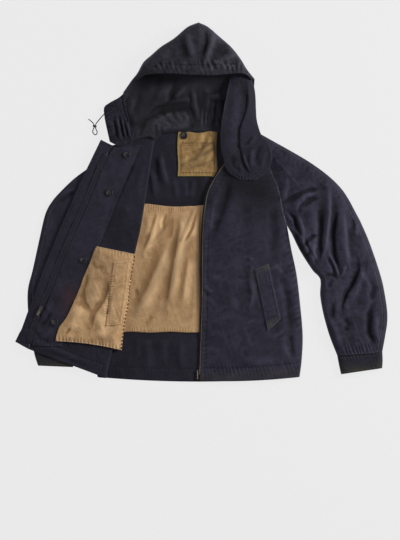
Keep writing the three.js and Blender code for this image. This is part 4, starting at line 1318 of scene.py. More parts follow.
@dataclass
class LeftFront:
    """The closed-side front: one layer, its zip edge, hem and slanted pocket."""

    low_edge: Rows = Rows(
        "x y z", (3, 3, 4.6), (6, 60, 5), (9, 146, 5.6), (12, 230, 6), (12, 314, 6), (13, 400, 7.4),
        (16, 460, 8),
    )
    high_edge: Rows = Rows(
        "x y z", (16, 460, 8), (26, 525, 8.2), (46, 568, 8), (66, 598, 7.6), (80, 617, 7.6), (96, 634, 7.4),
        (113, 650, 7),
    )
    split: float = 0.62
    crown: float = 9.0
    side_roll: float = 34.0
    hem: Path = ((4, 40), (90, 40), (180, 44), (250, 51), (290, 56))
    welt_corners: Path = ((157, 315), (196, 332), (230, 176), (193, 142))
    folds: Folds = creases(
        (13, -4.6, 0.3, 94, 588, 68, 482, 44, 417, 32, 380), (18, 3, 0, 112, 560, 96, 480, 72, 400),
        (10, 2, 0, 50, 540, 36, 480, 28, 420), (24, 2.6, 0, 175, 540, 165, 430, 150, 345),
        (14, -3.4, 0, 205, 500, 212, 420, 205, 340), (12, -1.3, 0.3, 135, 372, 137, 300, 134, 235),
        (8, 2.6, -0.3, 140, 296, 152, 250, 144, 200), (14, -3.6, -0.3, 236, 300, 250, 220, 262, 130),
        (8, -2.2, 0.3, 254, 140, 262, 100, 268, 60), (10, 1.8, 0, 240, 150, 238, 100, 246, 60),
        (12, 2, 0, 120, 64, 160, 54, 215, 64), (4, 0.8, 0, 1.5, 114, 342, 142, 330, 150, 308),
        (4, 0.8, 0, 1.5, 126, 322, 140, 334, 154, 346), (5, 1.4, 0, 120, 352, 140, 350, 156, 336),
        (7, -0.9, 0, 104, 300, 124, 290, 150, 296), (5, -1.8, 0, 12, 262, 22, 246, 30, 240),
        (5, 1.4, 0, 16, 270, 30, 256, 44, 254), (8, 1.2, 0, 30, 300, 48, 290, 70, 292),
        (16, 1.6, 0, 60, 170, 90, 200, 110, 240), (7, 1.8, 0, 206, 330, 222, 318, 236, 300),
        (7, 1.5, 0, 200, 120, 222, 132, 240, 150),
    )

    @property
    def sewn(self) -> Folds:
        """Return the relief that the sewing makes.

        Returns:
            Grooves, puckers and crumples.
        """
        zip_line = (
            (17, 3), (20, 60), (23, 146), (25, 230), (25, 314), (27, 400), (30, 456), (40, 517), (58, 556),
            (77, 586), (90, 604),
        )
        side = ((280, 14), (286, 60), (289, 130), (282, 216), (272, 300), (257, 372), (245, 437))
        raglan = ((245, 437), (234, 470), (226, 512), (218, 545), (205, 575), (193, 603))
        return (
            Groove(self.hem, 2.6, 0.5), Puckers(self.hem, 10.5, 15, 0.65, 17, -9),
            Groove(zip_line, 2.4, 0.55), Puckers(zip_line, 13, 6, 0.4, 19, 4), Groove(raglan, 2.2, 0.8),
            Puckers(side, 17, 12, 1.0, 23), Puckers(raglan, 12, 10, 0.7, 25), Crumple(70, 1.5, 27),
            Crumple(24, 0.3, 29),
        )

    def base(self, u: Array, v: Array) -> Shape:
        """Place points of the front's outer face.

        Args:
            u: Shares across.
            v: Shares along.

        Returns:
            The placed surface.
        """
        near = joined(self.low_edge, self.high_edge, v, self.split)
        seam = joined(SIDE_SEAM, RAGLAN_SEAM, v, self.split)
        far_x = seam["x"] - HALF_SEAM
        sag = -5 * np.clip(1 - v / self.split, 0, 1) ** 8
        x = mix(near["x"], far_x, u)
        y = mix(near["y"], seam["y"], u) + sag * np.sin(math.pi * u)
        bumps = heights(self.folds, x, y)
        crown = mix(near["z"], self.crown, smooth(u / 0.3)) + bumps
        width = np.hypot(far_x - near["x"], seam["y"] - near["y"])
        inset = np.minimum(1, (1 - u) * width / self.side_roll)
        rolled = LAP + (crown - LAP) * np.sqrt(1 - (1 - inset) ** 2)
        shoulder = (v - self.split) / (1 - self.split)
        z = mix(rolled, crown, smooth((shoulder + 0.18) / 0.3))
        floor = 4.2 * np.minimum(1, 1.6 * inset + (v > self.split))
        fine = heights(self.sewn, x, y) * np.minimum(1, np.minimum(inset, u * width / 5) * 1.5 + 0.2)
        low = np.maximum(z, floor)
        return Shape(x, y, low + CLOTH + fine, bumps * smooth(inset * 2) + fine * 1.4)

    def welt(self, u: Array, v: Array) -> Shape:
        """Place points of the pocket welt, on the front's own surface.

        Args:
            u: Shares across.
            v: Shares along.

        Returns:
            The placed surface.
        """
        corners = np.array(self.welt_corners, dtype=float)
        low = mix(corners[3][:, None], corners[2][:, None], u)
        high = mix(corners[0][:, None], corners[1][:, None], u)
        x, y = mix(low, high, v)
        face = self.over(x, y)
        edge = np.minimum(np.minimum(u * 39, (1 - u) * 39), np.minimum(v, 1 - v) * 168)
        quilt = 0.5 * smooth(edge / 3.5) - 0.5 * np.exp(-(((edge - 6.5) / 1.6) ** 2))
        waves = (
            Puckers(((197, 150), (160, 308)), 8, 10, 0.4, 33),
            Puckers(((228, 176), (194, 322)), 9, 10, 0.35, 35), Crumple(18, 0.5, 37),
        )
        lift = quilt + np.maximum(heights(waves, x, y), -0.4)
        return Shape(x, y, face.z + SEAM + KHAKI + 0.1 + lift, lift + face.relief * 0.5)

    def over(self, x: Array, y: Array) -> Shape:
        """Return the front's face at plan places.

        Args:
            x: Plan X.
            y: Plan Y.

        Returns:
            The placed surface.
        """
        u, v = np.full(x.shape, 0.5), np.full(x.shape, 0.3)
        for _ in range(14):
            seam = joined(SIDE_SEAM, RAGLAN_SEAM, v, self.split)
            near = joined(self.low_edge, self.high_edge, v, self.split)
            middle = mix(near["y"], seam["y"], u)
            v = np.clip(v + (y - middle) / 700.0, 0, 1)
            u = np.clip((x - near["x"]) / (seam["x"] - HALF_SEAM - near["x"]), 0, 1)
        found = self.base(u, v)
        return Shape(x, y, found.z, found.relief)

    def build(self) -> None:
        """Make the front, its welt and its stitching."""
        front = Sheet(
            "left_front_shell", "left_front", NAVY, self.base, 96, 210,
            Cut(300, 672, rests_on=("back", "back_khaki_panel")),
            stain_and_shade_spots=(
                (150, 300, 10, 16, 0.25), (6, 60, 6, 80, 0.25), (80, 14, 90, 14, 0.22),
                (230, 24, 60, 14, 0.22), (156, 262, 6, 10, 0.35),
            ),
            # Shade spots paint shade on the chest, beside the raglan seam and beside the throat flap.
            shades=(
                (125, 545, 85, 62, 0.68), (190, 480, 46, 80, 0.4), (70, 600, 40, 40, 0.3),
                (60, 440, 26, 60, 0.14),
            ),
            tone=0.04,
        ).build()
        welt = Sheet(
            "left_welt_shell", "left_pocket_welt", NAVY, self.welt, 24, 70,
            Cut(41, 172, rests_on=("left_front",)), KHAKI,
            stain_and_shade_spots=(
                (196, 322, 20, 9, 0.7), (214, 158, 22, 12, 0.75), (162, 262, 7, 30, 0.55),
                (232, 180, 10, 20, 0.4),
            ),
        ).build()
        sewing = Stitching("left_front_stitching", NAVY_THREAD)
        s = np.linspace(0, 1, 160)
        hem_v = np.interp(
            np.linspace(4, 290, 160), [4, 90, 180, 250, 290], [0.053, 0.0505, 0.048, 0.0475, 0.048],
        )
        sewing.along(front.on(mix(0.01, 0.985, s), hem_v))
        for inset in (13.5, 5.5):
            sewing.along(front.on(inset / np.linspace(282, 120, 160), mix(0.004, 0.93, s)))
        for inset in (3.0, 9.0):
            sewing.along(front.on(1 - inset / np.linspace(232, 60, 160), mix(0.625, 0.97, s)))
        sewing.build()
        pale = Stitching("left_pocket_stitching", PALE_THREAD, 3.2, 2.3, 0.7)
        for u in (0.08, 0.2, 0.9):
            pale.line(welt, (u, 0.02), (u, 0.98), 90)
        for v in (0.02, 0.07, 0.94, 0.985):
            pale.line(welt, (0.06, v), (0.94, v), 24)
        for u in (0.262, 0.294):
            pale.line(front, (u, 0.006), (u, 0.036), 12)
        pale.build()


@dataclass
class Sleeve:
    """A raglan sleeve in two halves that meet at the overarm and underarm seams."""

    side: int
    shoulder: Rows
    arm: Rows
    folds: Folds
    columns: int
    rows: int
    cut: Cut
    tone: float
    split: float = 0.4
    overarm: float = math.radians(45.3)

    def _rows(self, v: Array) -> Columns:
        """Return the section sizes from the neck (v = 0) to the cuff (v = 1).

        Args:
            v: Shares along.

        Returns:
            The sizes by name.
        """
        up = 1 - np.clip(v / self.split, 0, 1)
        down = np.clip((v - self.split) / (1 - self.split), 0, 1)
        seam, far, arm = RAGLAN_SEAM.at(up), self.shoulder.at(up), self.arm.at(down)
        low = v > self.split
        closed = np.where(low, smooth(down / 0.12), 0.0)
        near_x = np.where(low, arm["nearX"] + self.side * HALF_SEAM, self.side * (seam["x"] + HALF_SEAM))
        near_y = np.where(low, arm["nearY"], seam["y"])
        crown = np.where(low, arm["crown"], far["crown"])
        edge_z = 0.5 * (7 + 9) + CLOTH
        rows = {
            "nearX": near_x, "nearY": near_y, "backX": near_x, "backY": near_y,
            "farX": np.where(low, arm["farX"], far["farX"]),
            "farY": np.where(low, arm["farY"], far["farY"]), "crown": crown,
            "nearZ": mix(edge_z, crown, closed), "closed": closed,
        }
        return held(rows, radius=44, under=9, nearRadius=20, floor=0, backZ=0, backShare=0.3, mid=5)

    def _half(self, *stretches: Stretch) -> Surface:
        """Return the surface rule of one half.

        Args:
            stretches: The stretches of its section.

        Returns:
            The rule.
        """
        section = Section(stretches)
        return lambda u, v: section.place(self._rows(v), u, lambda x, y: heights(self.folds, x, y))

    def build(self) -> None:
        """Make both halves and the double rows of stitches along their seams."""
        name = "left" if self.side > 0 else "right"
        upper = self._half(
            Stretch(NEAR, True, 0, QUARTER, 0.12), Stretch(FLAT, True, 0, 1, 0.76),
            Stretch(FAR, True, QUARTER, self.overarm, 0.12),
        )
        under = self._half(
            Stretch(FAR, True, self.overarm - 0.012, 0, 0.14), Stretch(FAR, False, 0, QUARTER, 0.14),
            Stretch(FLAT, False, 1, 0, 0.66), Stretch(NEAR, False, QUARTER, 0, 0.06),
        )
        front = Sheet(
            f"{name}_sleeve_front_shell", f"{name}_sleeve_front", NAVY, upper, self.columns, self.rows,
            # Shade spots paint shade on two parts of the sleeve; the tone darkens it all over.
            self.cut, shades=((440, 160, 70, 60, 0.14), (300, 600, 70, 40, 0.12)), tone=self.tone,
        ).build()
        Sheet(
            f"{name}_sleeve_back_shell", f"{name}_sleeve_back", NAVY, under, int(self.columns * 0.7),
            int(self.rows * 0.7), self.cut, up=False, tone=self.tone,
        ).build()
        sewing = Stitching(f"{name}_sleeve_stitching", NAVY_THREAD)
        for u in (0.988, 0.955):
            sewing.line(front, (u, 0.01), (u, 0.99), 300)
        for u in (0.125, 0.16):
            sewing.line(front, (u, 0.01), (u, self.split * 0.99), 120)
        sewing.build()


def sleeves() -> list[Sleeve]:
    """Return both sleeves with their own tables and folds.

    Returns:
        The left sleeve and the right one.
    """
    left_shoulder = Rows(
        "farX farY crown", (452, 452, 19), (437, 480, 19), (421, 510, 19), (400, 541, 18), (366, 575, 17),
        (318, 611, 15), (265, 643, 13), (206, 676, 11), (158, 703, 9),
    )
    left_arm = Rows(
        "nearX nearY farX farY crown", (248, 437, 452, 452, 19), (262, 412, 474, 402, 20),
        (284, 367, 494, 347, 21), (318, 314, 512, 290, 21), (340, 288, 521, 248, 20),
        (340, 244, 528, 200, 19), (347, 200, 528, 165, 18), (357, 160, 523, 132, 17),
        (369, 122, 518, 104, 16), (388, 74, 514, 83, 15),
    )
    left_folds = creases(
        (5, 1.3, 0.3, 1.4, 208, 630, 246, 590, 286, 542), (9, 3, 0.2, 244, 578, 248, 546, 234, 504),
        (9, -5.2, 0.25, 236, 500, 270, 520, 306, 535, 336, 540, 344, 544),
        (8, 5.5, -0.3, 270, 470, 276, 498, 296, 520, 332, 530), (8, -3.5, 0, 286, 488, 312, 508, 340, 518),
        (6, 5, -0.25, 277, 468, 290, 426, 294, 398), (6, -5.5, 0.2, 252, 478, 270, 458, 281, 426, 288, 400),
        (4, 2.6, 0.2, 1.5, 244, 472, 262, 452, 270, 428, 288, 392),
        (5, -3.5, 0.2, 267, 446, 274, 411, 292, 368, 306, 346),
        (5, 4, -0.3, 278, 432, 292, 389, 313, 346, 324, 324), (5, 3.4, -0.3, 299, 410, 310, 382, 335, 332),
        (6, -5, 0.2, 292, 372, 301, 394, 318, 407, 336, 411), (7, 4, 0, 322, 396, 317, 330),
        (6, -3.5, 0, 304, 366, 312, 334), (11, -7.5, -0.25, 338, 494, 341, 430, 336, 336),
        (8, 6, 0.25, 1.7, 366, 546, 365, 470, 358, 410, 344, 332),
        (9, -8, 0.25, 384, 486, 375, 410, 379, 362, 395, 296), (13, 6, 0.3, 402, 480, 410, 390, 419, 308),
        (4, 4.4, 0, 1.4, 364, 362, 382, 326, 394, 286), (3.5, 4, 0, 1.4, 394, 288, 403, 304, 412, 328),
        (5, -3.4, 0, 356, 356, 374, 322, 386, 290),
        (8, -8.5, 0.35, 1.6, 444, 346, 447, 310, 435, 278, 415, 250, 403, 218, 402, 190),
        (10, 3.5, 0, 456, 314, 444, 266, 427, 226), (6, -3.5, 0, 430, 462, 434, 420),
        (7, 2.6, 0, 442, 452, 442, 404), (8, -4, 0.3, 378, 228, 373, 168),
        (9, -3.5, 0, 402, 184, 419, 162, 406, 136), (10, -6, -0.3, 488, 222, 474, 190, 474, 138, 496, 96),
        (10, 4, 0, 498, 190, 494, 150, 506, 110), (10, -3.5, 0, 495, 278, 481, 224),
        (7, -2.5, 0, 360, 262, 378, 290), (6, -2.6, 0, 346, 298, 370, 300, 392, 286),
        (9, -1.2, 0, 338, 562, 350, 528), (12, -3, -0.3, 402, 538, 420, 500, 431, 460),
        (9, 2.2, 0, 430, 330, 462, 292, 486, 250), (9, 2.4, 0, 360, 190, 384, 140, 396, 96),
        (12, 2, 0, 430, 150, 440, 110, 446, 90),
    ) + (
        Crumple(58, 1.7, 51), Crumple(21, 0.7, 53), Puckers(((392, 86), (514, 95)), 10, 14, 1.0, 55),
        Puckers(
            ((175, 665), (228, 638), (284, 607), (340, 572), (385, 535), (420, 490), (445, 430)), 15, 9,
            0.6, 57,
        ),
        Groove(
            ((252, 440), (241, 472), (233, 512), (225, 547), (212, 577), (200, 605), (186, 632)), 2.2, 0.7,
        ),
    )
    right_shoulder = Rows(
        "farX farY crown", (-434, 452, 9.6), (-425, 480, 9.6), (-408, 508, 9.6), (-385, 534, 9.4),
        (-346, 571, 9.2), (-300, 604, 9), (-254, 634, 8.6), (-204, 668, 8.4), (-158, 703, 8),
    )
    right_arm = Rows(
        "nearX nearY farX farY crown", (-248, 437, -434, 452, 9.6), (-262, 390, -448, 388, 9.6),
        (-278, 330, -464, 315, 9.6), (-292, 270, -477, 262, 9.6), (-306, 215, -478, 212, 9.6),
        (-322, 155, -472, 150, 9.6), (-342, 92, -464, 96, 9.6),
    )
    right_folds = creases(
        (5, 2.2, 0.3, 1.5, -392, 518, -368, 534, -344, 544), (9, -2.6, 0, -396, 500, -372, 518, -340, 532),
        (9, -2.6, 0.3, -425, 420, -446, 350, -458, 300), (9, 2, 0, -402, 480, -424, 420, -440, 350),
        (7, 1.6, 0, -452, 380, -464, 320, -470, 270),
    ) + (Crumple(50, 0.9, 61), Crumple(20, 0.3, 63))
    return [
        Sleeve(1, left_shoulder, left_arm, left_folds, 84, 250, Cut(270, 845, rests_on=("floor",)), 0.05),
        Sleeve(-1, right_shoulder, right_arm, right_folds, 56, 150, Cut(255, 800, rests_on=("floor",)), 0.2)
    ]


@dataclass
class Cuff:
    """A doubled cuff band, butted to its sleeve."""

    name: str
    rows: Rows
    wall: float = 2.2
    columns: int = 110

    def surface(self, u: Array, v: Array) -> Shape:
        """Place points round the band.

        Args:
            u: Shares across.
            v: Shares along.

        Returns:
            The placed surface.
        """
        fixed = {"closed": 1, "radius": 16, "under": 9, "nearRadius": 16}
        rows = held(self.rows.at(v), floor=0, backZ=0, backShare=0.3, mid=5, **fixed)
        rows["backX"], rows["backY"], rows["nearZ"] = rows["nearX"], rows["nearY"], rows["crown"]
        section = Section(
            (
                Stretch(NEAR, True, 0, QUARTER, 0.08), Stretch(FLAT, True, 0, 1, 0.34),
                Stretch(FAR, True, QUARTER, 0, 0.08), Stretch(FAR, False, 0, QUARTER, 0.06),
                Stretch(FLAT, False, 1, 0, 0.38), Stretch(NEAR, False, QUARTER, 0, 0.06),
            )
        )
        first, last = self.rows.values[0], self.rows.values[-1]
        seam = ((first[0], first[1] - 7), (first[2], first[3] - 7))
        rim = ((last[0], last[1] + 8), (last[2], last[3] + 8))
        terms = (
            Puckers(seam, 9, 14, 0.9, 71), Puckers(rim, 8, 12, 0.8, 73), Groove(seam, 2.0, 0.4),
            Groove(rim, 2.0, 0.4), Crumple(20, 0.5, 75),
        )
        return section.place(rows, u, lambda x, y: heights(terms, x, y))

    def build(self) -> None:
        """Make the band and its stitching."""
        x, y, far_x, far_y, _ = self.rows.values[-1]
        band = Sheet(
            f"{self.name}_cuff_shell", f"{self.name}_cuff", NAVY, self.surface, self.columns, 18,
            Cut(270, 56, rests_on=("floor",)), self.wall,
            stain_and_shade_spots=(((x + far_x) / 2, (y + far_y) / 2, 70, 16, 0.75), (far_x - 4, far_y + 10, 12, 20, 0.5)),
            tone=0.44, front_share=0.4,
        ).build()
        sewing = Stitching(f"{self.name}_cuff_stitching", PALE_THREAD, 3.0, 2.1, 0.65)
        for v in (0.12, 0.22, 0.84):
            sewing.line(band, (0.02, v), (0.5, v), 110)
        sewing.build()


def cuffs() -> list[Cuff]:
    """Return both cuffs with their own tables.

    Returns:
        The left cuff and the right one.
    """
    columns = "nearX nearY farX farY crown"
    left = Rows(columns, (387.4, 78, 514.3, 87, 13.4), (393, 48, 515.5, 60, 12.5), (399, 22, 514, 39, 12))
    right = Rows(
        columns, (-341, 97, -464.4, 101, 8.6), (-346, 66, -457, 70, 10.6), (-351, 42, -449, 46, 10.6),
    )
    return [Cuff("left", left), Cuff("right", right)]


@dataclass
class RightFront:
    """The open front: it leaves its side seam, rolls over and lies inside up across the right sleeve."""

    roll: float = 5.5
    rows: Rows = Rows(
        "nearX nearY farX farY backX backY nearZ crown backZ",
        (-474, 92, -258, 11, -279, 13, 12.4, 13.4, 1.9), (-469, 122, -252, 44, -284, 44, 13, 13.4, 1.9),
        (-461, 150, -242, 86, -289, 84, 13.2, 13.4, 1.9),
        (-440, 204, -222, 160, -289, 150, 13.6, 13.6, 1.9),
        (-415, 262, -203, 250, -283, 216, 13.8, 13.6, 1.9),
        (-392, 325, -186, 325, -273, 300, 14, 13.8, 1.9), (-367, 385, -172, 385, -258, 372, 14, 13.8, 2.4),
        (-343, 440, -160, 440, -246, 437, 14, 13.8, 3.2), (-315, 502, -150, 502, -227, 510, 14, 13.8, 5),
        (-291, 560, -141, 560, -206, 572, 14, 13.8, 5.5), (-268, 616, -132, 622, -180, 628, 14, 13.8, 5.5),
        (-241, 662, -121, 693, -141, 665, 14, 13.8, 5.5),
    )
    fly_edge: Rows = Rows(
        "x y z", (-513, 113, 3), (-501, 138, 5), (-494, 151, 7), (-475, 203, 10.6), (-452, 262, 11.6),
        (-430, 325, 12), (-405, 385, 12.2), (-383, 440, 12.2), (-355, 502, 12.2), (-329, 562, 12.2),
        (-302, 618, 12.2), (-273, 678, 12.2),
    )
    facing_inner: Rows = Rows(
        "x y", (-381, 100), (-377, 122), (-367, 150), (-349, 202), (-325, 262), (-301, 325), (-277, 385),
        (-250, 450), (-224, 515), (-206, 558), (-192, 595), (-171, 640), (-158, 664),
    )
    pocket_left: Rows = Rows(
        "x y", (-399, 115), (-397, 130), (-388, 155), (-368, 183), (-346, 230), (-332, 263), (-321, 294),
        (-304, 333), (-293, 364), (-285, 380),
    )
    pocket_right: Rows = Rows(
        "x y", (-215, 89), (-209, 140), (-203, 181), (-196, 215), (-189, 280), (-181, 330), (-177, 358),
    )
    pocket_puff: float = 3.6
    pocket_folds: Folds = creases(
        (9, -4, 0.25, -306, 310, -322, 262, -320, 222, -300, 196),
        (10, -4.6, 0.3, -256, 300, -254, 262, -268, 225, -290, 196, -299, 170, -309, 132),
        (15, 3, 0, -288, 290, -292, 244, -294, 214), (17, 3.4, 0, -328, 220, -346, 168, -354, 140),
        (15, 3.4, 0, -272, 196, -266, 150, -272, 116), (4, -2.6, 0, -358, 152, -372, 132),
        (8, -1.6, 0, -300, 340, -284, 322, -262, 318), (6, -2.4, 0, -246, 250, -250, 215, -256, 180),
    ) + (
        Puckers(((-178, 352), (-189, 280), (-196, 215), (-209, 140), (-214, 94)), 10.5, 8, 1.7, 91, 4),
        Puckers(((-284, 372), (-178, 352)), 9, 9, 0.7, 93),
        Puckers(((-395, 122), (-342, 114), (-268, 106), (-218, 94)), 10, 8, 0.9, 95),
        Puckers(((-243, 300), (-252, 240), (-262, 180)), 7, 7, 0.8, 96, 3), Crumple(26, 0.8, 97, 2.0),
    )
    folds: Folds = creases(
        (10, -3.4, 0.35, -164, 650, -182, 608, -220, 529, -246, 470),
        (12, -2.6, 0, -239, 505, -251, 448, -268, 395), (16, 2.4, 0, -190, 520, -205, 460, -215, 410),
        (10, 1.8, 0, -150, 620, -164, 560, -176, 500), (16, 1.8, 0, -300, 560, -330, 490, -360, 420),
        (12, 1.4, 0, -262, 590, -280, 560, -290, 520), (12, 1.6, 0, -380, 300, -396, 262, -398, 230),
        (6, -2.2, 0, -468, 154, -441, 122, -404, 106), (10, 2, 0, -400, 150, -430, 125, -455, 118),
        (12, 2.6, 0, -330, 60, -380, 80, -440, 105), (7, -1.8, 0, -300, 40, -360, 62, -430, 92),
        (8, 1.8, 0, -262, 22, -248, 50, -234, 78), (5, -2.2, 0.3, -414, 250, -428, 216, -440, 188),
        (6, 2, 0.3, -404, 232, -420, 196, -436, 168), (6, -1.8, 0.3, -408, 196, -424, 172, -444, 150),
        (5, 1.4, 0, -418, 214, -436, 190, -462, 168),
    ) + (Crumple(54, 1.3, 81), Crumple(20, 0.5, 83))

    def _rows(self, v: Array) -> Columns:
        """Return the section sizes from the hem (v = 0) to the neck (v = 1)."""
        rolls = {"radius": self.roll, "under": self.roll, "nearRadius": 0}
        return held(self.rows.at(v), closed=0, floor=4.4, backShare=0.4, mid=9.2, **rolls)

    def relief(self, x: Array, y: Array) -> Array:
        """Return all relief of the folded front's upper face."""
        return heights(self.folds, x, y) + self._hem(x, y)

    def _hem(self, x: Array, y: Array) -> Array:
        """Return the hem's groove and puckers."""
        line = ((-488, 134), (-430, 112), (-380, 92), (-320, 68), (-262, 48))
        return heights((Groove(line, 2.6, 0.8), Puckers(line, 10, 12, 0.7, 85)), x, y)

    def shell(self, u: Array, v: Array) -> Shape:
        """Place points from the zip line over the top, round the fold and back to the side seam.

        Args:
            u: Shares across.
            v: Shares along.

        Returns:
            The placed surface.
        """
        section = Section(
            (
                Stretch(FLAT, True, 0, 1, 0.74), Stretch(FAR, True, QUARTER, 0, 0.04),
                Stretch(FAR, False, 0, QUARTER, 0.04), Stretch(FLAT, False, 1, 0, 0.18),
            )
        )
        return section.place(self._rows(v), u, self.relief)

    def over(self, x: Array, y: Array) -> Shape:
        """Return the folded front's upper face at plan places, sinking past its fold.

        Args:
            x: Plan X.
            y: Plan Y.

        Returns:
            The placed surface.
        """
        low, high = np.zeros(x.shape), np.ones(x.shape)
        for _ in range(26):
            v = 0.5 * (low + high)
            row = self.rows.at(v)
            dx, dy = row["farX"] - row["nearX"], row["farY"] - row["nearY"]
            above = dx * (y - row["nearY"]) - dy * (x - row["nearX"]) > 0
            low, high = np.where(above, v, low), np.where(above, high, v)
        row = self.rows.at(0.5 * (low + high))
        dx, dy = row["farX"] - row["nearX"], row["farY"] - row["nearY"]
        share = ((x - row["nearX"]) * dx + (y - row["nearY"]) * dy) / (dx * dx + dy * dy)
        level = mix(row["nearZ"], row["crown"], smooth(np.clip(share, 0, 1) / CROWN_REACH))
        past = (share - 1) * np.hypot(dx, dy) + self.roll
        bumps = self.relief(x, y)
        return Shape(x, y, level + bumps - 9.0 * smooth((past - 3) / 27), bumps)

    def fly(self, u: Array, v: Array) -> Shape:
        """Place points of the fly flap, from its free edge to the zip line.

        Args:
            u: Shares across.
            v: Shares along.

        Returns:
            The placed surface.
        """
        inner, outer = self.rows.at(v), self.fly_edge.at(v)
        x = mix(outer["x"], inner["nearX"] - HALF_SEAM, u)
        y = mix(outer["y"], inner["nearY"], u)
        level = mix(outer["z"], inner["nearZ"] - CLOTH, smooth(u * 1.3))
        edge = tuple((p[0] + 7, p[1]) for p in self.fly_edge.values[1:])
        terms = (Groove(edge, 2.0, 0.5), Puckers(edge, 14, 7, 0.3, 87))
        bumps = heights(self.folds, x, y) * 0.8 + heights(terms, x, y)
        return Shape(x, y, level + bumps * smooth(u * 2 + 0.3) + 2.2, bumps)

    def facing(self, u: Array, v: Array) -> Shape:
        """Place points of the facing strip.

        Args:
            u: Shares across.
            v: Shares along.

        Returns:
            The placed surface.
        """
        outer = self.rows.at(mix(0.035, 0.985, v))
        inner = self.facing_inner.at(v)
        x, y = mix(outer["nearX"] + 7, inner["x"], u), mix(outer["nearY"], inner["y"], u)
        face = self.over(x, y)
        edge = smooth((1 - u) * 9)
        return Shape(x, y, face.z + SEAM + 1.2 - 0.4 * (1 - edge), face.relief + 0.3 * edge)

    def pocket(self, u: Array, v: Array) -> Shape:
        """Place points of the khaki pocket bag.

        Args:
            u: Shares across.
            v: Shares along.

        Returns:
            The placed surface.
        """
        left, right = self.pocket_left.at(v), self.pocket_right.at(v)
        x = mix(left["x"], right["x"], u)
        y = mix(left["y"], right["y"], u) + 5 * np.sin(math.pi * u) * (1 - v) ** 3
        face = self.over(x, y)
        rim = np.minimum(np.minimum(u, 1 - u) * 180, np.minimum(v, 1 - v) * 260)
        puff = self.pocket_puff * smooth(rim / 30)
        bumps = heights(self.pocket_folds, x, y)
        lift = np.maximum(puff + bumps + 0.3, -0.2)
        return Shape(x, y, face.z + SEAM + 1.2 + SEAM + KHAKI + lift, lift - puff + 0.4 * face.relief)

    def pocket_welt(self, u: Array, v: Array) -> Shape:
        """Place points of the khaki pocket's welt.

        Args:
            u: Shares across.
            v: Shares along.

        Returns:
            The placed surface.
        """
        x = mix(mix(-258, -215, u), mix(-237, -190, u), v)
        y = mix(mix(157, 161, u), mix(336, 341, u), v)
        inner_u, inner_v = self._on_pocket(x, y)
        base = self.pocket(inner_u, inner_v)
        edge = np.minimum(np.minimum(u, 1 - u) * 40, np.minimum(v, 1 - v) * 184)
        quilt = 0.4 * smooth(edge / 3) - 0.45 * np.exp(-(((edge - 6) / 1.6) ** 2))
        waves = Puckers(((-252, 160), (-240, 270)), 6.5, 7, 0.6, 99).height(x, y)
        lift = quilt + waves + Crumple(16, 0.35, 101).height(x, y)
        return Shape(x, y, base.z + SEAM + KHAKI + np.maximum(lift, -0.3), lift + base.relief)

    def _on_pocket(self, x: Array, y: Array) -> tuple[Array, Array]:
        """Find the pocket bag's own place under plan places.

        Args:
            x: Plan X.
            y: Plan Y.

        Returns:
            Shares across and along the pocket bag.
        """
        v = (y - 108) / 262
        for _ in range(12):
            left, right = self.pocket_left.at(v), self.pocket_right.at(v)
            u = (x - left["x"]) / (right["x"] - left["x"])
            hem = mix(left["y"], right["y"], u)
            v = np.clip(v + (y - hem - 5 * np.sin(math.pi * u) * (1 - v) ** 3) / 270, 0, 1)
        return u, v

    def build(self) -> None:
        """Make the folded front, its fly, facing and pocket, and their stitching."""
        lies = ("right_sleeve_front", "back")
        shell = Sheet(
            "right_front_shell", "right_front", NAVY_INSIDE, self.shell, 112, 190,
            # A shade spot paints shade on the folded front's inside; the tone darkens it all over.
            Cut(330, 690, "folded", lies), shades=((-230, 440, 50, 70, 0.2),), tone=0.24,
        ).build()
        fly = Sheet(
            "right_fly_shell", "right_fly_flap", NAVY_INSIDE, self.fly, 16, 190,
            Cut(42, 640, "folded", lies), 2.2, tone=0.06,
        ).build()
        facing = Sheet(
            "right_facing_shell", "right_front_facing", NAVY_INSIDE, self.facing, 30, 180,
            Cut(104, 620, "folded", ("right_front",)), 1.2,
            stain_and_shade_spots=((-352, 236, 28, 34, 0.75), (-380, 200, 14, 20, 0.3)),
        ).build()
        pocket = Sheet(
            "khaki_pocket_bag", "right_khaki_pocket", KHAKI_TWILL, self.pocket, 96, 120,
            Cut(215, 290, "folded", ("right_front_facing",)), KHAKI,
            stain_and_shade_spots=((-262, 330, 20, 26, 0.3), (-258, 270, 8, 34, 0.45), (-300, 350, 20, 20, 0.3)),
            # Shade spots paint shade on the pocket's upper part and near its top.
            shades=((-300, 280, 60, 80, 0.26), (-290, 360, 30, 24, 0.14)),
        ).build()
        welt = Sheet(
            "khaki_pocket_welt", "right_khaki_welt", KHAKI_TWILL, self.pocket_welt, 20, 64,
            Cut(41, 188, "folded", ("right_khaki_pocket",)), KHAKI,
        ).build()
        sewing = Stitching("right_front_stitching", DARK_THREAD)
        for strip, u in ((fly, 0.17), (fly, 0.9), (facing, 0.04), (facing, 0.94)):
            sewing.line(strip, (u, 0.03), (u, 0.99), 220)
        sewing.line(shell, (0.02, 0.075), (0.74, 0.08), 120)
        sewing.build()
        khaki = Stitching("khaki_pocket_stitching", KHAKI_THREAD, 3.0, 2.2, 0.7)
        for u in (0.03, 0.955):
            khaki.line(pocket, (u, 0.01), (u, 0.99), 110)
        khaki.line(pocket, (0.01, 0.965), (0.99, 0.965), 110)
        for u in (0.1, 0.9):
            khaki.line(welt, (u, 0.01), (u, 0.99), 110)
        for v in (0.025, 0.975):
            khaki.line(welt, (0.1, v), (0.9, v), 24)
        khaki.build()
        overcast = Stitching("khaki_pocket_overcast", SEAM_THREAD, 10.5, 7.0, 3.4, 0.6)
        overcast.line(pocket, (0.992, 0.01), (0.992, 0.99), 110)
        overcast.build()
        cream = Stitching("khaki_pocket_edge_stitching", CREAM_THREAD, 7.0, 4.4, 2.3, 0.4)
        for v in (0.012, 0.988):
            cream.line(pocket, (0.01, v), (0.99, v), 110)
        cream.build()


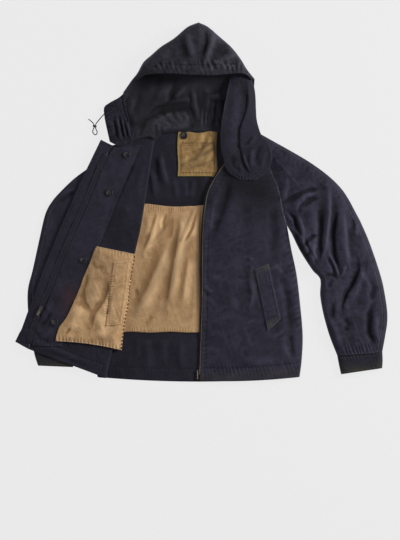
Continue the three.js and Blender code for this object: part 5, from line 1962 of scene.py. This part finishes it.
@dataclass
class Hood:
    """The hood in two halves that meet at the crown, each with its brim casing."""

    left: Rows = Rows(
        "nearX nearY farX farY backX backY nearZ crown mid backZ",
        (0.0, 857, 0.0, 1005, 0.0, 703.5, 52, 50, 20, 0), (35, 855, 26, 993, 22, 703.2, 51, 49, 20, 0),
        (70, 858, 58, 966, 45, 702, 48, 46, 19, 0), (98, 861, 92, 936, 70, 700, 43, 42, 17, 0),
        (120, 862, 118, 903, 92, 698, 36, 36, 14, 0), (135, 858, 136, 874, 113, 696.6, 26, 26, 10, 0),
        (150, 845, 157, 848, 150, 708, 14, 14, 6, 0),
    )
    right: Rows = Rows(
        "nearX nearY farX farY backX backY nearZ crown mid backZ",
        (0.0, 857, 0.0, 1005, 0.0, 703.5, 52, 50, 20, 0), (-38, 858, -31, 992, -24, 703.2, 51, 49, 20, 0),
        (-76, 861, -68, 961, -50, 701.8, 49, 47, 19, 0), (-108, 861, -104, 938, -78, 699.2, 46, 44, 18, 1),
        (-132, 860, -132, 914, -104, 696, 41, 40, 16, 4),
        (-150, 857, -154, 894, -128, 692, 34, 33, 14, 15.4),
        (-166, 848, -171, 864, -152, 687, 25, 24, 11, 16), (-183, 838, -187, 844, -172, 682, 14, 14, 8, 16),
        (-206, 806, -211, 810, -188, 678, 8, 8, 4, 16),
    )
    # Drawn lines of painted shade in the hood's inside folds and round its nape tuck, a dark line down the
    # crown seam, and one line of painted light (negative strength).
    inner_shades: tuple[Stroke, ...] = (
        (1.4, 0.4, 0, 1005, 0, 857, 0, 704), (9, 0.45, -108, 846, -120, 806, -138, 762, -160, 717),
        (7, 0.3, -156, 828, -171, 776, -190, 720), (6, 0.42, -61, 846, -75, 821, -83, 798),
        (4, 0.36, -50, 798, -83, 787, -105, 758),
        (5, 0.6, -160, 696, -146, 732, -118, 748, -78, 758, -36, 762),
        (7, 0.5, -36, 764, -17, 746, -22, 730, -18, 714), (5, 0.8, -118, 716, -116, 686),
        (5, 0.7, -104, 712, -98, 690), (3, -0.5, -138, 712, -110, 734, -76, 752),
        (3, 0.35, -103, 741, -79, 726), (3, 0.3, -75, 760, -63, 748), (3, 0.35, -71, 726, -59, 715),
        (3, 0.35, -91, 694, -71, 718), (4, 0.36, 20, 806, 42, 806, 65, 820), (4, 0.3, 42, 784, 65, 787),
        (3, 0.24, 35, 806, 31, 717), (4, 0.24, 68, 784, 68, 717),
    )
    inner_folds: Folds = creases(
        (18, 8, 0.2, -104, 850, -126, 806, -148, 762, -164, 712),
        (12, 5, -0.3, -84, 852, -100, 816, -122, 780), (9, 5, 0.3, -66, 846, -88, 812, -94, 776),
        (7, -3.5, 0, -50, 840, -72, 808, -84, 786), (10, 4.5, 0.3, -30, 838, -56, 804, -70, 782),
        (5, -6, 0, -150, 742, -122, 766, -84, 772, -36, 778, -16, 756, -12, 736),
        (8, 3, 0, -160, 740, -128, 778, -84, 786, -30, 790, -4, 760),
        (8, 4.5, 0.3, -17, 830, -12, 784, -3, 748, 2, 724), (6, -3.5, 0, -28, 820, -22, 790, -20, 770),
        (10, 3.6, 0, 20, 840, 26, 790, 22, 752), (6, 3, 0, 24, 806, 44, 798, 66, 806),
        (8, 3, 0, 62, 810, 58, 770, 62, 730), (5, 2.4, 0, 42, 790, 38, 760, 40, 724),
        (3.5, 2.2, 0, 10, 766, 8, 740, 8, 712), (3.5, 2, 0, 20, 762, 20, 740, 20, 712),
        (3.5, 2.2, 0, 31, 756, 30, 740, 31, 712), (3.5, 1.8, 0, 52, 748, 52, 730, 54, 712),
        (14, 5, 0, -188, 806, -190, 762, -180, 716), (4, 3, 0.3, -130, 752, -106, 744, -84, 728),
        (3.5, 2.6, 0, -118, 738, -98, 728, -78, 718), (4, 2.8, 0, -96, 762, -84, 744, -66, 726),
        (4, 2.8, 0, -70, 764, -60, 746, -46, 730), (4, 2.4, 0, -44, 760, -36, 744, -32, 728),
    ) + (Crumple(34, 0.9, 121),)
    brim_folds: Folds = creases(
        (9, 3.4, -0.35, -36, 984, -27, 940, -15, 902), (12, -2.4, 0, -52, 970, -46, 930, -32, 896),
        (7, -3.6, 0.2, 20, 984, 22, 944, 9, 906), (9, 4.4, -0.35, 46, 984, 32, 936, 14, 874),
        (18, -3, 0.3, 84, 960, 72, 930, 52, 905), (7, 2, 0, 116, 925, 84, 905, 40, 892),
        (4, 3, 0, 1.5, -30, 996, -74, 962, -112, 932), (8, -2, 0, -46, 972, -84, 944, -116, 918),
        (14, 1.6, 0, -80, 936, -92, 912, -100, 892), (6, 2.2, 0, -113, 890, -108, 876, -106, 868),
        (5, 2, 0, -100, 896, -96, 886, -96, 876), (6, 2.2, 0, -76, 896, -72, 884, -74, 872),
        (6, 2.2, 0, -42, 894, -38, 884, -40, 872), (4, 3, 0, 30, 890, 36, 878, 38, 866),
        (5, 3.4, 0, 42, 900, 52, 888, 58, 874), (5, 3.4, 0, 56, 896, 68, 884, 74, 870),
        (5, 3.2, 0, 76, 892, 86, 880, 88, 868), (4, 3, 0, 92, 888, 98, 878, 100, 868),
        (5, 3, 0, 108, 892, 112, 882, 112, 870), (4, 2.2, 0, 120, 886, 124, 876, 124, 866),
    ) + (Crumple(40, 1.6, 111), Crumple(16, 0.6, 112))

    def _casing(self, side: int) -> Folds:
        """Return the brim casing's relief for one side.

        Args:
            side: 1 for the left half, -1 for the right.

        Returns:
            The casing's relief.
        """
        line = tuple((side * x, y) for x, y in ((0, 885), (40, 884), (80, 888), (108, 886), (128, 878)))
        edge = tuple((side * x, y) for x, y in ((0, 863), (40, 861), (80, 865), (108, 867), (128, 865)))
        return (
            Groove(line, 2.6, 1.0), Puckers(line, 14, 14, 0.9, 113 + side, 6),
            Puckers(edge, 12, 10, 0.5, 117 + side),
        )

    def half(self, rows: Rows, side: int) -> Surface:
        """Return the surface rule of one half.

        Args:
            rows: The half's sizes.
            side: 1 for the left half, -1 for the right.

        Returns:
            The rule.
        """
        casing = self._casing(side) + self.brim_folds
        section = Section(
            (
                Stretch(FLAT, True, 0, 1, 0.26), Stretch(FAR, True, QUARTER, 0, 0.15),
                Stretch(FAR, False, 0, QUARTER, 0.11), Stretch(FLAT, False, 1, 0, 0.48),
            )
        )

        def surface(u: Array, v: Array) -> Shape:
            """Place points from the face edge over the crown and back to the neck.

            Args:
                u: Shares across.
                v: Shares along.

            Returns:
                The placed surface.
            """
            sizes = held(rows.at(v), closed=0, radius=60, under=34, nearRadius=0, floor=0, backShare=0.5)
            shape = section.place(sizes, u, lambda x, y: heights(casing, x, y))
            x, y = shape.x, shape.y
            reach = np.hypot(x + 72 - (y - 728) * 0.5, (y - 726) * 1.5)
            tuck = 7 * smooth((66 - reach) / 34)
            away = smooth((sizes["farY"] - y) / 60) * smooth((y - sizes["backY"]) / 14)
            folds = np.maximum(0, heights(self.inner_folds, x, y))
            lift = np.where(u > 0.52, (folds + tuck) * away * smooth((860 - y) / 60), 0)
            lap = smooth((u - 0.985) / 0.012)
            tongue = 3 + 11 * np.exp(-(((x + 121) / 12) ** 2))
            return Shape(x, y - tongue * lap, shape.z + lift + 1.8 * lap, shape.relief + 0.7 * lift)

        return surface

    def build(self) -> None:
        """Make both halves and the stitching of the brim and the centre seam."""
        sewing = Stitching("hood_stitching", NAVY_THREAD)
        for name, rows, side in (("left", self.left, 1), ("right", self.right, -1)):
            half = Sheet(
                f"hood_{name}_shell", f"hood_{name}", NAVY_HOOD, self.half(rows, side), 130, 84,
                Cut(190 if side > 0 else 240, 560, "folded", ("floor",)),
                # Stained spots in the hood's near-black colour paint shade into the corners under the brim,
                # inside, and beside the crown seam; the shade spots paint the inside and parts of the crown
                # darker.
                stain_and_shade_spots=(
                    (-150, 838, 26, 26, 0.75), (-128, 856, 30, 8, 0.5), (62, 832, 34, 22, 0.75),
                    (100, 850, 20, 14, 0.6), (-62, 786, 30, 10, 0.35), (30, 800, 20, 10, 0.3),
                    (10, 930, 6, 40, 0.25),
                ),
                shades=(
                    (-80, 780, 110, 56, 0.52), (50, 770, 60, 60, 0.46), (-70, 940, 60, 40, 0.14),
                    (72, 932, 16, 24, 0.12),
                ),
                drawn=self.inner_shades, front_share=0.4,
            ).build()
            v = np.linspace(0.01, 0.8, 110)
            sewing.along(half.on(0.26 * 26 / (0.6 * np.linspace(90, 30, 110) + 12), v))
            sewing.line(half, (0.01, 0.02), (0.5, 0.02), 110)
        sewing.build()


@dataclass
class ThroatFlaps:
    """The hood's lower corners: one hangs round over the left front, one lies opened out."""

    left: Rows = Rows(
        "leftX leftY rightX rightY leftZ midZ rightZ", (90, 874, 140, 862, 5, 14, 4),
        (88, 852, 150, 842, 8, 14, 4), (83, 826, 157, 820, 14, 14, 2.6), (76, 790, 160, 793, 17, 15, 2.2),
        (68, 750, 161, 764, 17.5, 16, 2.6), (63, 712, 164, 728, 17, 16.5, 10.5),
        (61, 680, 178, 686, 15, 17, 15), (63, 650, 198, 664, 14, 17.4, 16),
        (70, 626, 206, 634, 13.4, 17.4, 16.2), (74, 604, 200, 604, 13, 16.6, 15.2),
        (88, 584, 182, 580, 13, 15, 13.6), (116, 566, 160, 564, 12.8, 13.2, 13),
    )
    right: Rows = Rows(
        "leftX leftY rightX rightY leftZ midZ rightZ", (-223, 795, -206, 811, 6, 7.6, 9),
        (-248, 782, -204, 788, 5, 8.6, 9.6), (-264, 768, -202, 764, 5, 10, 12),
        (-263, 742, -197, 740, 8, 13, 15.6), (-258, 716, -191, 716, 13, 16.5, 18.4),
        (-253, 694, -184, 694, 15.6, 18.2, 18.6), (-248, 672, -184, 668, 16, 18.2, 18.6),
    )
    seam: Path = (
        (136, 800), (134, 779), (129, 750), (121, 731), (114, 709), (112, 687), (114, 654), (122, 625),
        (133, 602), (139, 586),
    )
    left_folds: Folds = creases(
        (9, -3, 0.3, 124, 860, 132, 812, 128, 758, 112, 706, 112, 660, 122, 622, 138, 586),
        (14, 2.4, 0, 98, 850, 100, 800, 96, 740, 90, 690), (7, 3, -0.3, 140, 830, 144, 790, 138, 740),
        (4.5, -1.2, 0, 154, 690, 142, 673, 130, 660), (6, 1.6, -0.3, 162, 694, 150, 676, 138, 664),
        (7, -2.4, 0, 178, 668, 164, 640, 160, 610), (7, 3, -0.3, 150, 655, 146, 622, 148, 592),
        (7, 2.4, 0, 192, 650, 182, 618, 178, 592), (4, 2.6, 0, 124, 640, 130, 616, 140, 596),
        (4, -1.4, 0, 118, 616, 126, 606, 134, 588), (7, -1.6, 0, 100, 640, 92, 615, 96, 595),
        (6, -1.6, 0, 84, 640, 100, 604, 124, 584),
    ) + (
        Groove(((156, 713), (172, 698), (194, 680)), 1.7, 0.9),
        Groove(((152, 705), (166, 693), (184, 677)), 1.5, 0.6), Crumple(24, 1.0, 131),
        Crumple(12, 0.35, 132),
    )
    right_folds: Folds = creases(
        (4.5, -3.4, 0, -237, 738, -231, 712, -224, 676), (4.5, 3.6, -0.3, -230, 744, -223, 714, -217, 676),
        (4.5, -3.6, 0, -223, 748, -216, 714, -209, 678), (4.5, 3.6, -0.3, -216, 742, -209, 712, -203, 680),
        (4, -3.2, 0, -210, 738, -203, 712, -197, 682), (4, 2.8, -0.3, -203, 730, -197, 708, -191, 684),
        (9, 2, 0, -254, 750, -246, 716, -238, 684),
    ) + (
        Groove(((-217, 806), (-212, 780), (-206, 752), (-192, 718), (-187, 690)), 2.6, 1.8),
        Puckers(((-262, 760), (-254, 716), (-249, 684)), 11, 8, 0.8, 143, 4), Crumple(20, 1.6, 141),
    )

    def flap_left(self, u: Array, v: Array) -> Shape:
        """Place points of the left flap's upper face.

        Args:
            u: Shares across.
            v: Shares along.

        Returns:
            The placed surface.
        """
        row = self.left.at(v)
        x, y = mix(row["leftX"], row["rightX"], u), mix(row["leftY"], row["rightY"], u)
        arch = 1 - np.abs(2 * u - 1) ** 3
        rim = ((70, 604), (88, 588), (116, 572), (144, 562), (172, 574), (192, 594), (198, 624), (192, 648))
        inner = tuple((px - 5.0, py) for px, py in self.seam[3:7])
        sewn = (
            Groove(rim, 2.0, 0.5), Puckers(rim, 8, 9, 1.0, 133), Groove(self.seam, 2.2, 1.5),
            Groove(inner, 1.8, 0.8),
        )
        bumps = heights(self.left_folds, x, y) * arch**2 + heights(sewn, x, y) * (0.3 + 0.7 * arch)
        z = mix(mix(row["leftZ"], row["rightZ"], u), row["midZ"], arch) - 0.4 + CLOTH + bumps
        return Shape(x, y, z, bumps)

    def flap_right(self, u: Array, v: Array) -> Shape:
        """Place points of the right flap's upper face, with its gathers.

        Args:
            u: Shares across.
            v: Shares along.

        Returns:
            The placed surface.
        """
        row = self.right.at(v)
        x = mix(row["leftX"], row["rightX"], u)
        y = mix(row["leftY"], row["rightY"], u) - 10 * smooth((v - 0.75) / 0.25) * np.sin(math.pi * u)
        arch = 4 * u * (1 - u)
        bumps = heights(self.right_folds, x, y)
        level = mix(mix(row["leftZ"], row["rightZ"], u), row["midZ"], arch)
        z = level + np.maximum(bumps, -1.2) + CLOTH + 1.2 * arch
        return Shape(x, y, z, bumps * 1.2)

    def build(self) -> None:
        """Make both flaps and their stitching."""
        left = Sheet(
            "left_flap_shell", "left_throat_flap", NAVY, self.flap_left, 90, 180,
            Cut(150, 300, rests_on=("left_front",)),
            # Shade spots and drawn lines paint shade in the left flap's hollows and along its seams; the
            # tone darkens the whole flap.
            shades=(
                (104, 622, 10, 8, 0.4), (146, 620, 60, 50, 0.2), (150, 800, 22, 60, 0.28),
                (126, 820, 14, 40, 0.2), (66, 720, 6, 90, 0.2),
            ),
            drawn=(
                (1.8, 0.3, *np.ravel(self.seam)), (1.6, 0.34, 156, 713, 172, 698, 194, 680),
                (2.2, 0.2, 114, 610, 126, 602, 134, 588), (2.0, 0.2, 108, 648, 116, 632, 124, 612),
            ),
            tone=0.26,
        ).build()
        right = Sheet(
            "right_flap_shell", "right_throat_flap", NAVY, self.flap_right, 90, 100,
            # A shade spot paints shade on the right flap; the tone darkens it all over.
            Cut(100, 150, "gathered", ("right_front",)), shades=((-212, 700, 26, 26, 0.16),), tone=0.46,
        ).build()
        sewing = Stitching("throat_flap_stitching", NAVY_THREAD, 3.2, 2.3, 0.7)
        for u in (0.05, 0.95):
            sewing.line(left, (u, 0.45), (u, 0.97), 90)
        sewing.line(left, (0.05, 0.965), (0.95, 0.965), 40)
        sewing.line(right, (0.06, 0.94), (0.94, 0.94), 50)
        sewing.build()
        pale = Stitching("throat_flap_edge_stitching", PALE_THREAD, 3.2, 2.4, 0.7)
        pale.line(left, (0.985, 0.6), (0.985, 0.76), 50)
        pale.line(left, (0.02, 0.755), (0.34, 0.64), 26)
        pale.build()


@dataclass
class Zip:
    """Both halves of the front zip: tapes, teeth, pin and slider."""

    front: LeftFront
    folded: RightFront
    nodes: dict[str, Piece]
    tooth_pitch: float = 3.0

    def left_edge(self, v: Array) -> Columns:
        """Return the left front's zip edge."""
        return joined(self.front.low_edge, self.front.high_edge, v, self.front.split)

    def _beside(self, edge: Edge, v: Array, across: Array) -> tuple[Array, Array, Array]:
        """Return places beside an edge, to its right by across millimetres.

        Args:
            edge: The edge, read at v.
            v: Shares along.
            across: Distance to its right in mm.

        Returns:
            X, Y and Z.
        """
        here, ahead = edge(v), edge(v + 0.004)
        dx, dy = ahead["x"] - here["x"], ahead["y"] - here["y"]
        length = np.hypot(dx, dy)
        return here["x"] + dy / length * across, here["y"] - dx / length * across, here["z"]

    def left_tape(self, u: Array, v: Array) -> Shape:
        """Place points of the left tape, under the front's edge.

        Args:
            u: Shares across.
            v: Shares along.

        Returns:
            The placed surface.
        """
        v = mix(0.018, 0.87, v)
        x, y, z = self._beside(self.left_edge, v, 15 * u - 6.5)
        dip = np.minimum(0, heights(self.front.folds[:1], x + 8, y))
        top = np.maximum(z + dip - 0.6, LAP + KHAKI + SEAM + 0.9)
        return Shape(x, y, top, np.zeros(x.shape))

    def right_edge(self, v: Array) -> Columns:
        """Return the folded front's zip edge on its upper face.

        Args:
            v: Shares along.

        Returns:
            The edge's x, y and z.
        """
        row = self.folded.rows.at(v)
        lift = self.folded.relief(row["nearX"], row["nearY"])
        return {"x": row["nearX"], "y": row["nearY"], "z": row["nearZ"] + lift}

    def right_tape(self, u: Array, v: Array) -> Shape:
        """Place points of the right tape, on the fly and the folded front.

        Args:
            u: Shares across.
            v: Shares along.

        Returns:
            The placed surface.
        """
        v = mix(0.056, 0.944, v)
        x, y, z = self._beside(self.right_edge, v, 15 * u - 9.5)
        return Shape(x, y, z + 1.35, np.zeros(x.shape))

    def build(self) -> None:
        """Make the tapes and teeth and finish the metal."""
        left = Sheet(
            "left_tape_weave", "left_zip_tape", TAPE_WEAVE, self.left_tape, 5, 210,
            Cut(15, 640, rests_on=("back",)), 0.9,
        ).build()
        right = Sheet(
            "right_tape_weave", "right_zip_tape", DARK_TAPE, self.right_tape, 5, 200,
            Cut(15, 610, "folded", ("right_front",)), 0.9,
        ).build()
        teeth = Stitching("left_zip_teeth", TEETH, self.tooth_pitch, 2.0, 2.6, 1.3)
        teeth.line(left, (0.36, 0.03), (0.36, 0.985), 220)
        teeth.build()
        hidden = Stitching("right_zip_teeth", DARK_BRASS, self.tooth_pitch, 1.7, 3.0, 0.4)
        hidden.line(right, (0.16, 0.03), (0.16, 0.985), 220)
        hidden.build()
        for node, finish in (("left_zip_pin", BRASS), ("zip_slider", DARK_BRASS), ("zip_pull", BRASS)):
            self._metal(node, finish)

    def _metal(self, node: str, finish: Any) -> None:
        """Give a CAD node's own mesh a finish.

        Args:
            node: The node's name.
            finish: The finish it takes.
        """
        obj = self.nodes[node]
        material = WARDROBE.of(finish)
        for slot in obj.material_slots:
            slot.material = material
        if not obj.material_slots:
            obj.data.materials.append(material)
        log.info("%s: %s", node, finish.name)


@dataclass
class SewnButton:
    """A dished button with a raised rim, four holes and crossed thread."""

    name: str
    node: str
    x: float
    y: float
    diameter: float
    height: float = 2.8

    def _turned(self) -> Piece:
        """Spin the button's profile into a body.

        Returns:
            The body.
        """
        mesh = bmesh.new()
        r, h = self.diameter / 2, self.height
        profile = (
            (0.0, 0.0), (r * 0.8, 0.0), (r * 0.95, h * 0.2), (r, h * 0.5), (r * 0.97, h * 0.82),
            (r * 0.9, h), (r * 0.8, h * 0.98), (r * 0.7, h * 0.72), (r * 0.5, h * 0.6), (0.0, h * 0.62),
        )
        verts = [mesh.verts.new((x * MM, 0.0, z * MM)) for x, z in profile]
        edges = [mesh.edges.new(pair) for pair in zip(verts, verts[1:])]
        bmesh.ops.spin(
            mesh, geom=verts + edges, cent=(0, 0, 0), axis=(0, 0, 1), angle=math.tau, steps=36,
            use_merge=True,
        )
        bmesh.ops.remove_doubles(mesh, verts=mesh.verts, dist=1e-6)
        bmesh.ops.recalc_face_normals(mesh, faces=mesh.faces)
        return new_object(self.name, mesh)

    def _pierced(self, body: Piece) -> None:
        """Cut the four holes.

        Args:
            body: The button's body.
        """
        mesh = bmesh.new()
        for turn in range(4):
            angle = math.pi / 4 + turn * math.pi / 2
            made = bmesh.ops.create_cone(
                mesh, cap_ends=True, segments=12, radius1=1.15 * MM, radius2=1.15 * MM, depth=0.02,
            )
            away = Vector((math.cos(angle), math.sin(angle), 0)) * 2.5 * MM
            bmesh.ops.translate(mesh, verts=made["verts"], vec=away)
        cutter = new_object(f"{self.name}_cutter", mesh)
        cut = body.modifiers.new("holes", "BOOLEAN")
        cut.object = cutter
        cut.operation = "DIFFERENCE"
        apply_modifiers(body)
        bpy.data.objects.remove(cutter)

    def build(self) -> None:
        """Make the button and its thread on its CAD node's seat."""
        low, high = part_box(self.node)
        body = self._turned()
        self._pierced(body)
        x, y = (self.x + PLAN_SHIFT[0]) * MM, (self.y + PLAN_SHIFT[1]) * MM
        body.data.transform(Matrix.Translation((x, y, low[2])))
        dress(body, BUTTON)
        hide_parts(self.node)
        thread = Stitching(f"{self.name}_thread", NAVY_THREAD, 4.6, 4.4, 0.8, 0.0)
        centre = np.array([x, y, high[2] - self.height * 0.3 * MM])
        for turn in (math.pi / 4, -math.pi / 4):
            reach = np.array([math.cos(turn), math.sin(turn), 0]) * 2.3 * MM
            thread.along(np.stack([centre - reach, centre + reach]))
        thread.build()


@dataclass
class Drawcord:
    """The thin free cord at the right flap: down to a knot, round a loop and back to a loose end."""

    diameter: float = 2.7
    length: float = 137.0
    path: tuple[tuple[float, float, float], ...] = (
        (-256, 758, 7.1), (-266, 748, 3.6), (-276, 737, 1.4), (-284.5, 726.5, 2), (-289.1, 719.5, 4.2),
        (-289.1, 712.5, 4.2), (-286.4, 706.5, 2.4), (-283.2, 700.5, 1.3), (-284, 695, 1.25),
        (-288.5, 691, 1.3), (-293.5, 694, 1.25), (-297, 701, 1.3), (-295, 706.5, 2.4), (-291.9, 712.5, 4.2),
        (-291.9, 719.5, 4.2), (-295, 725.5, 2.4), (-301.5, 731, 1.3), (-308, 736, 1.25),
    )

    def build(self) -> None:
        points = (np.array(self.path) + PLAN_SHIFT) * MM
        cord = Tube("drawcord_braid", CORD, self.diameter, points).build()
        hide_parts("drawcord")
        turns = np.linspace(0, 1, 36)
        angle = 4 * math.pi * turns - QUARTER
        knot_points = np.stack(
            [-290.5 + 4.3 * np.cos(angle), 716 + 5.4 * (turns - 0.5), 4.25 + 2.95 * np.sin(angle)], axis=-1,
        )
        knot = Tube("drawcord_knot_turns", CORD, self.diameter, (knot_points + PLAN_SHIFT) * MM).build()
        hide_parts("drawcord_knot")
        self.diameter * MM


@dataclass
class Studio:
    """Floor, lights and the camera that looks straight down."""

    metres_per_pixel: float = 0.0028
    frame_width: int = 400
    frame_height: int = 540
    hem_row: float = 382.0
    centre_column: float = 198.5
    camera_height: float = 8.0

    def camera(self) -> None:
        """Hang the camera over the middle of the photograph's frame."""
        data = bpy.data.cameras.new("overhead")
        tall = self.frame_height * self.metres_per_pixel
        data.sensor_fit = "VERTICAL"
        data.sensor_width = 36.0
        data.sensor_height = 36.0
        data.lens = 36.0 * self.camera_height / tall
        data.clip_end = 50.0
        obj = bpy.data.objects.new("overhead", data)
        x = (self.frame_width / 2 - self.centre_column) * self.metres_per_pixel + PLAN_SHIFT[0] * MM
        y = (self.hem_row - self.frame_height / 2) * self.metres_per_pixel + PLAN_SHIFT[1] * MM
        obj.location = (x, y, self.camera_height)
        bpy.context.scene.collection.objects.link(obj)
        bpy.context.scene.camera = obj

    def _softbox(self, name: str, place: Vector, size: float, power: float) -> None:
        """Hang a square light that faces the middle of the garment.

        Args:
            name: Its name.
            place: Where it hangs.
            size: Its side in metres.
            power: Its watts.
        """
        data = bpy.data.lights.new(name, "AREA")
        data.shape = "SQUARE"
        data.size = size
        data.energy = power
        obj = bpy.data.objects.new(name, data)
        obj.location = place
        obj.rotation_mode = "QUATERNION"
        obj.rotation_quaternion = (-place).to_track_quat("-Z", "Y")
        bpy.context.scene.collection.objects.link(obj)

    def lights(self) -> None:
        """Light from above and from both sides."""
        self._softbox("key_light", Vector((3.0, 1.0, 1.35)), 0.9, 118.0)
        self._softbox("side_light", Vector((-2.8, 0.7, 0.7)), 0.8, 26.0)
        self._softbox("top_light", Vector((0.2, -0.6, 2.8)), 1.8, 16.0)
        world = bpy.data.worlds.new("studio")
        world.use_nodes = True
        background = world.node_tree.nodes["Background"]
        background.inputs[0].default_value = (1.0, 1.0, 1.0, 1.0)
        background.inputs[1].default_value = 0.05
        bpy.context.scene.world = world
        bpy.context.scene.view_settings.view_transform = "Standard"

    def floor(self) -> None:
        """Lay the pale floor."""
        mesh = bmesh.new()
        bmesh.ops.create_grid(mesh, x_segments=1, y_segments=1, size=20.0)
        bmesh.ops.translate(mesh, verts=mesh.verts, vec=Vector((0, 0, -0.0006)))
        obj = new_object("floor", mesh)
        obj.data.materials.append(WARDROBE.of(FLOOR))

    def build(self) -> None:
        """Set up the whole studio."""
        self.camera()
        self.lights()
        self.floor()


def main() -> None:
    """Load the frame and build every piece in order."""
    logging.basicConfig(level=logging.INFO, format="%(message)s")
    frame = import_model()
    Studio().build()
    Drawcord().build()
    Back().build()
    front, folded = LeftFront(), RightFront()
    front.build()
    for sleeve in sleeves():
        sleeve.build()
    for cuff in cuffs():
        cuff.build()
    folded.build()
    Hood().build()
    ThroatFlaps().build()
    Zip(front, folded, frame["nodes"]).build()
    for number, (x, y) in enumerate(((-200, 636), (-249, 529), (-323, 342), (-402, 168)), start=1):
        SewnButton(f"liner_button_{number}_body", f"liner_button_{number}", x, y, 20).build()
    SewnButton("nape_button_body", "nape_button", -41, 690, 21).build()


if __name__ == "__main__":
    main()
